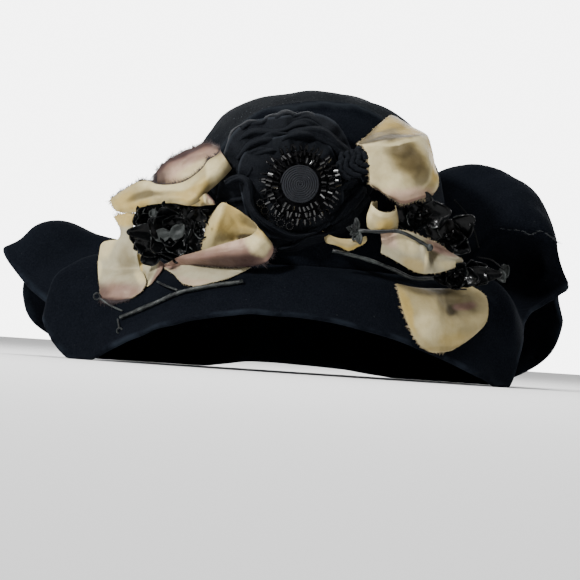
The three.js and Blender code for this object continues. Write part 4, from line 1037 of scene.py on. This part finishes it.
# Folds of the rosette: ridge line (x, z), width, height, how far it stands, lean of the ridge
# towards the left of its line (from -1 to 1), and the ruffle that it belongs to.
FOLDS = [
    ([(-54, 126), (-52.5, 136), (-49.5, 143), (-44, 147.5), (-38, 150)], 8, 3.0, 1.0, 0.5, "outer"),
    ([(-42, 147), (-34, 148.5), (-27, 152), (-21, 154.5), (-15, 155)], 10, 3.6, 1.5, 0.5, "outer"),
    ([(-19, 152), (-13, 154.5), (-8, 155), (-3, 151.5), (3, 147), (8, 143.5), (14, 138.5), (20, 133)],
     9, 3.8, 1.5, 0.5, "outer"),
    ([(-53, 132), (-45, 140.5), (-39, 142.8), (-32, 142.4), (-23, 143.9), (-14, 148.5), (-9, 150.1),
     (-3, 148.4), (4, 145), (10, 140)], 9.5, 4.4, 3.6, 0.55, "outer"),
    ([(-48, 126), (-40, 134.8), (-31, 139.7), (-24, 141.8), (-17, 141)], 10, 4.4, 5.5, 0.5, "inner"),
    ([(-22, 138.5), (-17, 141.5), (-10.5, 144), (-4, 145), (2, 143.6), (8.5, 139.3), (13, 134.9),
     (19, 130)], 12, 6.0, 6.5, 0.35, "inner"),
    ([(-46, 127), (-39, 130.6), (-31, 132.3), (-24, 131.5)], 7.5, 3.6, 7.0, 0.4, "inner"),
    ([(-37, 127), (-40, 122), (-44, 116)], 8, 3.0, 6.5, 0.2, "inner"),
    ([(-55, 111.5), (-50, 114.4), (-45.5, 115), (-42, 112.5), (-40.5, 108), (-39.8, 102.5), (-37, 96),
     (-31.5, 90), (-23.4, 85.6), (-14.4, 82.5), (-6.8, 83), (2, 86)], 6.0, 7.0, 10.5, 0.0, "inner"),
    ([(-42, 116), (-36, 111.4), (-32.2, 105.5), (-29, 99)], 8, 3.0, 7.0, -0.2, "inner"),
    ([(-20, 73), (-10, 76), (-1.4, 81), (7.8, 84), (14.5, 87.5), (20.1, 93.5), (25, 101), (31, 111)],
     10, 6.0, 7.0, 0.3, "outer"),
    ([(-12, 78.5), (-4, 83.5), (2.5, 87), (8, 92.5)], 6.5, 4.6, 8.0, 0.2, "inner"),
    ([(27, 116), (25.5, 109.5), (20.3, 103), (15, 97), (9.5, 92)], 9, 5.5, 8.5, 0.4, "inner"),
    ([(11.5, 109.5), (16.5, 115.3), (24.5, 119.5)], 6.5, 3.6, 7.5, 0.2, "inner"),
    ([(-62, 106), (-57, 111), (-53, 117), (-46, 125)], 12, 3.2, 1.5, 0.3, "outer"),
    ([(-60, 100), (-50, 100.5), (-41, 101.5), (-36, 96)], 11, 3.4, 3.0, 0.2, "outer"),
    ([(-42, 99), (-35, 91), (-28, 83.5), (-19, 76)], 9, 3.8, 3.0, -0.3, "outer"),
    ([(-54, 96), (-44, 88), (-34, 80.5), (-24, 74)], 9, 3.0, 1.0, -0.3, "outer"),
    ([(31, 130), (32, 122), (31, 114), (28, 106)], 9, 3.2, 2.0, 0.3, "outer"),
    ([(8, 80), (17, 85), (25, 92), (31, 101)], 8, 3.0, 1.0, -0.3, "outer"),
    ([(-20, 69.5), (-10, 70.5), (0, 74), (9, 79)], 7, 2.8, 1.0, -0.2, "outer"),
]


def fold_grid(points, wide, high, up, lean, number, steps=52, across=16):
    t = np.linspace(0, 1, steps)
    line = spline([(x, 0.0, z) for x, z in points])(t)
    run = unit(np.gradient(line, axis=0))
    side = np.stack([-run[:, 2], 0 * t, run[:, 0]], 1)
    body = np.sin(math.pi * (0.06 + 0.88 * t)) ** 0.5
    s = np.linspace(-0.5, 0.5, across)[None, :]
    wobble = 1 + 0.10 * np.sin(17 * t + number)[:, None]
    grid = line[:, None] + side[:, None] * (wide * s * (0.45 + 0.55 * body[:, None]) * wobble)[..., None]
    hump = np.clip(1 - np.abs((2 * s - lean) / np.where(2 * s > lean, 1 - lean, 1 + lean)), 0, 1)
    arch = np.sin(hump * math.pi / 2) ** 0.9
    crease = 0.16 * np.cos(TAU * (2.1 * s + 0.4 * np.sin(5 * t + number)[:, None])) * (0.3 + hump)
    x, z = grid[..., 0] - ROSETTE["x"], grid[..., 2] - ROSETTE["z"]
    rise = up - 3.6 + (1.35 * high + 2.6) * arch * (0.35 + 0.65 * body[:, None]) + 1.2 * high * crease
    rise = rise + 0.35 * swell(grid[..., [0, 2]], 8, number + 400)
    grid[..., 1] = ROSETTE["y"] - rise + ROSETTE["fall"] * (x * x + z * z)
    return grid


outer_mesh, inner_mesh = Mesh(), Mesh()
add_wall(outer_mesh, ruffle_grid(13, 45, 2.5, 5, 0.5, 5, 2.6, 9, 2.4, 0.6), CHIFFON, around=True)
add_wall(inner_mesh, ruffle_grid(11, 32, 2, 4, 6.5, 3, 1.8, 7, -2, 2), CHIFFON, around=True)
RUFFLES = {"outer": outer_mesh, "inner": inner_mesh}
for number, (*fold, layer) in enumerate(FOLDS):
    add_wall(RUFFLES[layer], fold_grid(*fold, number), CHIFFON)
# Mesh, piece, CAD node, guessed length of the gathered strip in metres, and what the piece rests on.
ROSETTE_PIECES = [
    (outer_mesh, "rosette_outer_chiffon", "rosette_outer_ruffle", 0.9, "crown_velvet"),
    (inner_mesh, "rosette_inner_chiffon", "rosette_inner_ruffle", 0.6, "rosette_outer_chiffon"),
]

# Knot: ruched ridges that run down from the top of the knot and bend away to the right.
KNOT_RIDGES = [
    [(13, 134.5), (14.2, 130), (12.8, 126), (15, 121.5), (20, 119)],
    [(16.5, 136), (17.6, 131.5), (16.2, 127), (19, 123), (26, 121)],
    [(20, 137), (21, 132), (19.8, 128.5), (23, 125.5), (30, 124)],
    [(23.5, 137), (24.4, 133), (23.4, 130.2), (26.5, 128.3), (32, 127.5)],
    [(27, 136.5), (27.6, 133.6), (29, 131.8), (32.5, 131)],
]
knot_mesh = Mesh()
knot_rows = [
    [(x0, z0, lift0), ((x0 + x1) / 2, (z0 + z1) / 2, (lift0 + lift1) / 2 + 1), (x1, z1, lift1)]
    for x0, z0, lift0, x1, z1, lift1 in KNOT
]
knot_grid = patch_grid(knot_rows, seed=41, along=10, across=14, thickness=CHIFFON)
add_wall(knot_mesh, knot_grid, CHIFFON)
for number, ridge in enumerate(KNOT_RIDGES):
    t = np.linspace(0, 1, 40)
    line = spline([(x, 0.0, z) for x, z in ridge])(t)
    line[:, 0] += 0.45 * np.sin(26 * t + number)
    for p in line:
        p[1] = on_veil(p[0], p[2], 2.6 - 0.4 * number)[1]
    body = 0.45 + 0.55 * np.sin(math.pi * t) ** 0.5
    add_tube(knot_mesh, line, 2.1, sides=10, taper=body)
ROSETTE_PIECES.append((knot_mesh, "rosette_knot_chiffon", "rosette_knot", 0.12, "rosette_outer_chiffon"))
for mesh, name, node, length, under in ROSETTE_PIECES:
    piece = mesh.build(name, CHIFFON_MAT, "chiffon", [node])
    declare_sheet(mesh)

# ---------------------------------------------------------------- satin pieces
for name, row in SATINS.items():
    mesh = Mesh()
    grid = patch_grid(row["rows"], row["folds"], row["seed"])
    add_wall(mesh, grid, SATIN)
    if "second" in row:
        add_wall(mesh, patch_grid(row["second"], (), row["seed"] + 7, along=10, across=14), SATIN)
    piece = mesh.build(name + "_cloth", SATIN_LOOKS[name], row["slot"], [name])
    for tone, look in (("dark", THREAD_DARK), ("pale", THREAD_PALE)):
        threads = Mesh()
        for k, (side, count, length, kind) in enumerate(row["frays"]):
            if kind == tone:
                fringe(threads, *edge_of(grid, side), count, length, row["seed"] * 10 + k)
        if threads.count:
            threads.build(f"{name}_{tone}_threads", look, row["slot"])
    declare_sheet(mesh)

# Torn lip of the brim's hood: short dusty threads along a line on the velvet, with a tuft at its end.
LIP = [(116, 100), (124, 99.5), (132, 99.5), (138, 97.5), (144, 100), (152, 96), (160, 92)]
lip_line = spline([(x, 0.0, z) for x, z in LIP])(np.linspace(0, 1, 60))
for p in lip_line:
    p[1] = velvet_front(p[0], p[2], 0.05)
lip_line = lip_line[lip_line[:, 1] < NOWHERE / 2]
LIP_THREADS, LIP_BROKEN_TO, LIP_TUFT = 700, 44, 9
lip_mesh = Mesh()
rng = random.Random(88)
for _ in range(LIP_THREADS):
    k = int(rng.random() ** 0.6 * (len(lip_line) - 1))
    if k < LIP_BROKEN_TO and math.sin(k * 1.1) > 0.55:
        continue
    root = lip_line[k] + (lip_line[k + 1] - lip_line[k]) * rng.random()
    way = np.array([rng.gauss(0.3, 0.8), -0.10 - 0.2 * rng.random(), rng.gauss(0, 0.45)])
    tip = root + way * rng.uniform(0.3, 1.1) * (2.0 if k > len(lip_line) - LIP_TUFT else 1.0)
    add_tube(lip_mesh, [root + (0, 0.3, 0), (root + tip) / 2, tip], 0.09, sides=3, taper=[1, 0.8, 0.4])
lip_mesh.build("brim_torn_lip_threads", THREAD_GREY, "velvet")

# ---------------------------------------------------------------- beads and button
BEADS = {"thick": 2.4, "stand": 12.2, "radius": 1.1}
# Rings of long beads: count, inner and outer radius, lift, and shift in steps of a bead.
BEAD_ROWS = [(32, 13.2, 16.0, 1.5, 0.0), (40, 17.2, 19.8, 1.3, 0.5), (44, 20.8, 23.4, 1.0, 0.2)]
bead_mesh = Mesh()
rng = random.Random(7)


def front_of_rosette(r, angle, up):
    back = 0.020 * max(0, r - 13) ** 2
    y = ROSETTE["y"] - BEADS["stand"] - up + back
    return np.array([RING["x"] + r * math.cos(angle), y, RING["z"] + r * math.sin(angle)])


for count, start_r, end_r, up, shift in BEAD_ROWS:
    for i in range(count):
        if rng.random() < 0.05:
            continue
        angle = TAU * (i + shift + rng.uniform(-0.16, 0.16)) / count
        lean = rng.uniform(-0.05, 0.05)
        lift = BEADS["thick"] / 2 + up + rng.uniform(-0.2, 0.6)
        tilt = rng.uniform(-0.9, 0.5)
        a = front_of_rosette(start_r + rng.uniform(-0.5, 0.5), angle, lift)
        b = front_of_rosette(end_r + rng.uniform(-0.6, 0.8), angle + lean, lift + tilt)
        thick = BEADS["radius"] * rng.uniform(0.72, 0.92)
        add_tube(bead_mesh, [a, b], thick, sides=6, twist=rng.uniform(0, 1))
        dot = front_of_rosette(end_r + 1.1, angle + lean, lift - 0.3)
        add_ball(bead_mesh, dot, 0.5, rings=5, sides=6)
# Loops of small beads at the ring's lower left: x, z, radius.
LOOPS = [(-33, 101, 2.0), (-30, 96.5, 2.2), (-25.5, 92.5, 2.4), (-20, 89.8, 2.3), (-14.5, 88.4, 2.1)]
LOOP_BEADS, LOOP_BEAD_RADIUS = 11, 0.62
for x, z, size in LOOPS:
    for k in range(LOOP_BEADS):
        a = TAU * k / LOOP_BEADS
        y = ROSETTE["y"] - BEADS["stand"] - 1.2 - 0.5 * math.sin(a)
        at = (x + size * math.cos(a), y, z + size * math.sin(a))
        add_ball(bead_mesh, at, LOOP_BEAD_RADIUS, rings=5, sides=6)
bead_mesh.build("bead_ring_beads", BEAD_MAT, "beads", ["bead_ring"], smooth=False)


def turned(mesh, profile, sides=60):
    """A surface of rings (radius, up) about the rosette's middle."""
    rings = [[front_of_rosette(r, TAU * k / sides, up) for k in range(sides)] for r, up in profile]
    grid = np.array(rings).transpose(1, 0, 2)
    faces = []
    for i in range(sides):
        a, b = i * len(rings), ((i + 1) % sides) * len(rings)
        faces += [(a + j, b + j, b + j + 1, a + j + 1) for j in range(len(rings) - 1)]
    mesh.add(grid.reshape(-1, 3), faces, [((0, 0),) * 4 for _ in faces])


disc_mesh = Mesh()
turned(disc_mesh, [(0.1, -1.2), (19.8, -1.2), (20.2, -0.6), (20.2, 0.4), (19.6, 1.0), (0.1, 1.1)])
disc_mesh.build("bead_ring_disc", DISC_MAT, "beads")

# Button: a cord wound in a flat spiral over a dome.
BUTTON = {"radius": 11.7, "high": 3.4, "turns": 8.5, "stand": 13.7, "round": 0.42}
button_mesh = Mesh()
pitch = BUTTON["radius"] / (BUTTON["turns"] + 0.5)
above = BUTTON["stand"] - BEADS["stand"]


def dome_at(radius):
    return above + BUTTON["high"] * (1 - BUTTON["round"] * (radius / BUTTON["radius"]) ** 2)


theta = np.linspace(0.0, TAU * BUTTON["turns"], 520)
r = pitch * (theta / TAU) + 0.25
dome = dome_at(r) - pitch * 0.5
path = np.array([front_of_rosette(*at) for at in zip(r, theta, dome)])
add_tube(button_mesh, path, pitch * 0.50, sides=8)
under_radii = np.linspace(0.02, BUTTON["radius"] - 0.5, 9)
under_cord = [(inner, dome_at(inner) - pitch * 0.85) for inner in under_radii]
turned(button_mesh, under_cord + [(BUTTON["radius"] - 0.7, above)])
button_mesh.build("cord_button_spiral", CORD_MAT, "cord", ["cord_button"])

# ---------------------------------------------------------------- flowers
# Flowers: x, z, lift and eye's radius, then turn, lean, length, width and cup of each petal.
FLOWERS = {
    "flowers_left": [
        (-86, 80, 4, 4, [(25, 20, 18, 16, 4), (70, 28, 14, 14, 4), (110, 20, 18, 17, 4),
         (183, 6, 27, 11, 2), (155, 20, 17, 15, 4), (230, 15, 17, 15, 4), (305, 20, 18, 15, 4),
         (270, 34, 12, 12, 3)]),
        (-71, 84, 1, 3, [(40, 5, 16, 13, 3), (85, 18, 13, 12, 3), (120, 5, 14, 13, 3), (290, 5, 18, 14, 3),
         (345, 22, 12, 11, 3)]),
        (-98, 88, 4, 2, [(45, 22, 12, 11, 2), (100, 16, 10, 10, 2), (150, 16, 11, 10, 2),
         (200, 18, 11, 9, 2), (250, 22, 12, 11, 2), (320, 26, 12, 10, 2)]),
        (-101, 74, 2.5, 1.5, [(20, 14, 12, 10, 2), (80, 14, 11, 9, 2), (125, 12, 10, 8, 2),
         (165, 10, 11, 8, 1.5), (215, 8, 9, 7, 1), (300, 8, 9, 8, 1)]),
        (-80, 95, 2, 1.5, [(30, 10, 12, 10, 2), (100, 4, 8, 9, 1), (170, 8, 13, 10, 2),
         (250, 16, 11, 10, 2)]),
        (-96, 90, 0, 1, [(60, 4, 17, 15, 2), (110, 4, 12, 14, 2), (10, 4, 18, 14, 2), (160, 4, 13, 13, 2),
         (200, 4, 15, 14, 2)]),
        (-92, 68, 0, 1, [(10, 4, 15, 13, 2), (80, 4, 12, 12, 2), (160, 4, 17, 12, 2), (120, 4, 15, 12, 2),
         (210, 2, 13, 11, 2)]),
        (-79, 70, 1.5, 1.5, [(10, 12, 12, 10, 2), (80, 14, 11, 9, 2), (190, 12, 13, 9, 2),
         (250, 8, 9, 8, 1), (320, 8, 10, 8, 1)]),
    ],
    "flowers_right": [
        (63, 99, -9, 4, [(15, 15, 21, 16, 4), (75, 10, 17, 15, 4), (130, 30, 12, 12, 3),
         (185, 15, 18, 14, 4), (255, 34, 12, 12, 3)]),
        (82, 88, -7, 3, [(148, 20, 21, 12, 1), (45, 10, 21, 15, 4), (95, 26, 14, 13, 3),
         (330, 20, 17, 13, 4), (250, 20, 13, 12, 3), (5, 34, 13, 11, 3)]),
    ],
    "flowers_lower_right": [
        (88, 66, 1, 3.5, [(190, 20, 16, 11, 4), (230, 34, 11, 11, 3), (270, 30, 12, 12, 4),
         (350, 25, 17, 12, 4), (5, -5, 28, 10, 3), (60, 30, 11, 11, 3)]),
        (98, 68, 1, 2.5, [(30, 28, 12, 11, 3), (100, 30, 10, 10, 3), (330, 28, 13, 11, 3)]),
    ],
}
# Grey petals: x, z, lift, then turn, lean, length, width and cup.
GREY = {
    "flowers_left": [
        (-96, 77, 14, (12, 8, 11.5, 8, 1.2)),
        (-85, 76.5, 14.5, (50, 8, 11.5, 8, 1.2)),
        (-99, 93, 10, (-50, 12, 6, 5, 1.4)),
    ],
    "flowers_lower_right": [(119, 75, 3, (258, 8, 11, 6, 2.6)), (114, 71, 3.6, (300, 16, 9, 6, 2))],
}
# Thin lacquered strands: radius, then points (x, z, lift).
STRANDS = {
    "flowers_left": [
        (0.55, [(-106, 91, 8), (-104, 84, 9), (-101, 79, 8), (-98, 74, 6)]),
        (0.5, [(-86, 88.5, 9), (-81, 89.4, 10), (-76.5, 88, 9), (-73.5, 84.5, 7)]),
        (0.4, [(-109, 78, 5), (-105, 75.5, 7), (-101, 75, 6)]),
    ],
    "flowers_right": [
        (0.5, [(84, 112, -5), (92, 104, -3), (98, 93, -2), (101, 84, -1)]),
        (0.45, [(58, 113, -6), (66, 117, -6), (74, 116, -6)]),
    ],
    "flowers_lower_right": [
        (0.5, [(78, 62, 6), (86, 58, 8), (95, 58, 8)]),
        (0.45, [(100, 78, 4), (109, 77, 6), (117, 72, 5)]),
    ],
}
# Seed beads: x, z of each. SEED_LIFT is the lift of a cluster's beads.
EYE_BITS = {
    "flowers_left": [
        (-96, 94), (-93, 90.5), (-98, 89), (-82, 95), (-66, 88), (-84, 76.5), (-82.5, 75), (-86, 74),
    ],
    "flowers_right": [(67, 103), (63, 100), (84, 92), (80, 89), (94, 97)],
    "flowers_lower_right": [(90, 68), (87, 65), (97, 70), (107, 68), (116, 66)],
}
SEED_LIFT = {"flowers_left": 12, "flowers_right": 7, "flowers_lower_right": 7}


def petal_grid(base, petal, seed, along=14, across=14):
    turn, lean, long, wide, deep = petal
    turn, lean = math.radians(turn), math.radians(lean)
    out = np.array([math.cos(turn) * math.cos(lean), -math.sin(lean), math.sin(turn) * math.cos(lean)])
    side = np.array([-math.sin(turn), 0, math.cos(turn)])
    face = unit(np.cross(out, side))
    t = np.linspace(0, 1, along)[:, None]
    s = np.linspace(-1, 1, across)[None, :]
    half = wide / 2 * (0.22 + 0.78 * np.sin(math.pi * (0.06 + 0.80 * t)) ** 0.8)
    rim = 1 - 0.22 * s * s * t
    cup = deep * (t * t * 0.6 + s * s * 0.5) + 0.55 * np.sin(5 * s + seed) * t
    cup = cup + 0.30 * np.cos(9 * t + 3 * s + seed)
    return base + out * (long * t * rim)[..., None] + side * (half * s)[..., None] + face * cup[..., None]


for name, group in FLOWERS.items():
    mesh = Mesh()
    for x, z, lift, eye, petals in group:
        heart = on_veil(x, z, lift)
        add_ball(mesh, heart, eye * 0.8)
        for k, petal in enumerate(petals):
            add_wall(mesh, petal_grid(heart, petal, k + x), LACQUER)
        for k in range(9):
            a = TAU * k / 9 + x
            add_ball(mesh, heart + (eye * math.cos(a), -eye * 0.9, eye * math.sin(a)), 0.8, rings=5, sides=8)
    for radius, points in STRANDS[name]:
        line = spline([on_veil(*p) for p in points])(np.linspace(0, 1, 24))
        add_tube(mesh, line, radius, sides=7)
    mesh.build(name + "_petals", LACQUER_MAT, "lacquer", [name])
    glints = Mesh()
    for x, z in EYE_BITS[name]:
        add_ball(glints, on_veil(x, z, SEED_LIFT[name]), 0.75, rings=5, sides=7)
    glints.build(name + "_seed_beads", BEAD_MAT, "beads")
    if name in GREY:
        grey = Mesh()
        for k, (*foot, petal) in enumerate(GREY[name]):
            add_wall(grey, petal_grid(on_veil(*foot), petal, 3 * k + 1), GREY_THICK)
        grey.build(name + "_grey_petals", GREY_PETAL, "lacquer")

# ---------------------------------------------------------------- stems
# Stems and wires: radius, then points (x, z, lift).
STEMS = [
    ("stem_upper_right", 1.15, [(26, 88, 6), (38, 88, 11), (51, 89, 11.5), (62, 85, 12.5), (70, 81, 11)]),
    ("stem_lower_right", 1.2, [(12, 75, 3), (34, 71, 4), (50, 66, 5), (62, 62, 6), (74, 63, 7)]),
    ("stem_long_left", 1.25, [(-113, 27, 2), (-94, 36, 2), (-78, 44, 1.6), (-62, 48.5, 1.6), (-40, 53, 1.6)]),
    ("wire_eye_left", 0.55, [(-127, 38, 3.6), (-120, 34, 2), (-112, 31, 1.2)]),
    ("wire_drop_left", 0.5, [(-113, 20.5, 2.2), (-114.5, 26, 2.4)]),
    ("wire_short_left", 0.6, [(-92, 50, 4.4), (-86, 47.5, 4.2), (-79, 45.5, 4)]),
]
# Radius of the ring at a wire's first point.
EYES = {"wire_eye_left": 1.9, "wire_drop_left": 1.6}
# Small leaves at the first point of the upper right stem: turn, lean, length, width and cup.
CALYX = [
    (100, 10, 8, 3.4, 1), (140, 30, 6, 3, 1), (170, 10, 7, 3.4, 1), (215, 25, 6, 3, 1), (250, 10, 7, 3.6, 1),
    (285, 10, 9, 4, 1),
]
for name, radius, path in STEMS:
    plan = spline([(x, lift, z) for x, z, lift in path])
    points = []
    for x, lift, z in plan(np.linspace(0, 1, 36)):
        q = on_veil(x, z, lift)
        q[1] = min(q[1], velvet_front(x, z, radius + CLEAR))
        points.append(q)
    points = np.array(points)
    mesh = Mesh()
    uneven = 1 + 0.08 * swell(np.linspace(0, 80, 36)[:, None], 22, len(name))
    add_tube(mesh, points, radius, sides=10, taper=uneven)
    if name == "stem_upper_right":
        add_ball(mesh, points[-1], 2.3)
        for leaf in CALYX:
            add_wall(mesh, petal_grid(points[0], leaf, leaf[0], 8, 6), LACQUER)
    if name in EYES:
        away = points[0] - points[1]
        away[1] = 0
        centre = points[0] + unit(away) * EYES[name]
        ring = np.stack([
            centre + EYES[name] * np.array([math.cos(a), 0, math.sin(a)]) for a in np.arange(20) * TAU / 20
        ])
        add_tube(mesh, ring, radius, sides=7, closed=True)
    mesh.build(name + "_wire", STEM_MAT, "stem", [name])

# Cloth area of crown and brim, worked out and not used.
declare_sheet(crown_mesh)
declare_sheet(brim_mesh)

# ---------------------------------------------------------------- stage
def area_light(name, at, towards, size, power):
    data = bpy.data.lights.new(name, "AREA")
    data.shape = "DISK"
    data.size = size
    data.energy = power
    obj = add_object(name, data)
    obj.location = at
    obj.rotation_euler = (Vector(towards) - Vector(at)).to_track_quat("-Z", "Y").to_euler()


area_light("key", (-1.6, -1.3, 1.45), (0, 0, 0.1), 0.32, 92)
area_light("fill", (1.7, -1.4, 0.9), (0, 0, 0.1), 0.5, 4)
area_light("top", (0.1, 0.1, 2.2), (0, 0, 0.1), 0.8, 40)


def studio_world():
    """Even white light, bright behind the hat and dimmer on the side that its front faces."""
    world = bpy.data.worlds.new("studio")
    world.use_nodes = True
    tree = world.node_tree
    back = tree.nodes["Background"].inputs
    back["Color"].default_value = (1, 1, 1, 1)
    blend = {"From Min": 0.64, "From Max": 0.98, "To Min": 0.16, "To Max": 6.0}
    blend["Value"] = axis_of(tree, "Generated", 1)
    blend = add_node(tree, "MapRange", blend, interpolation_type="SMOOTHSTEP")
    tree.links.new(blend.outputs["Result"], back["Strength"])
    return world


bpy.context.scene.world = studio_world()

floor_data = bpy.data.meshes.new("floor")
floor_data.from_pydata([(-20, -20, 0), (20, -20, 0), (20, 20, 0), (-20, 20, 0)], [], [(0, 1, 2, 3)])
floor = add_object("floor", floor_data)
floor.data.materials.append(material("floor_paper", (0.88, 0.88, 0.88), 0.9))

CAMERA = {"x": -11.8, "y": -2200.0, "z": 12.0, "aim_z": 52.0, "roll": 3.8, "lens": 216.7, "sensor": 36.0}
camera_data = bpy.data.cameras.new("camera")
camera_data.sensor_fit = "HORIZONTAL"
camera_data.sensor_width = CAMERA["sensor"]
camera_data.lens = CAMERA["lens"]
camera_data.clip_end = 100
camera = add_object("camera", camera_data)
eye_at = Vector(place((CAMERA["x"], CAMERA["y"], CAMERA["z"])))
aim_at = Vector(place((CAMERA["x"], 0, CAMERA["aim_z"])))
turn = (aim_at - eye_at).to_track_quat("-Z", "Y").to_matrix().to_4x4()
roll = Matrix.Rotation(math.radians(CAMERA["roll"]), 4, "Z")
camera.matrix_world = Matrix.Translation(eye_at) @ turn @ roll
bpy.context.scene.camera = camera
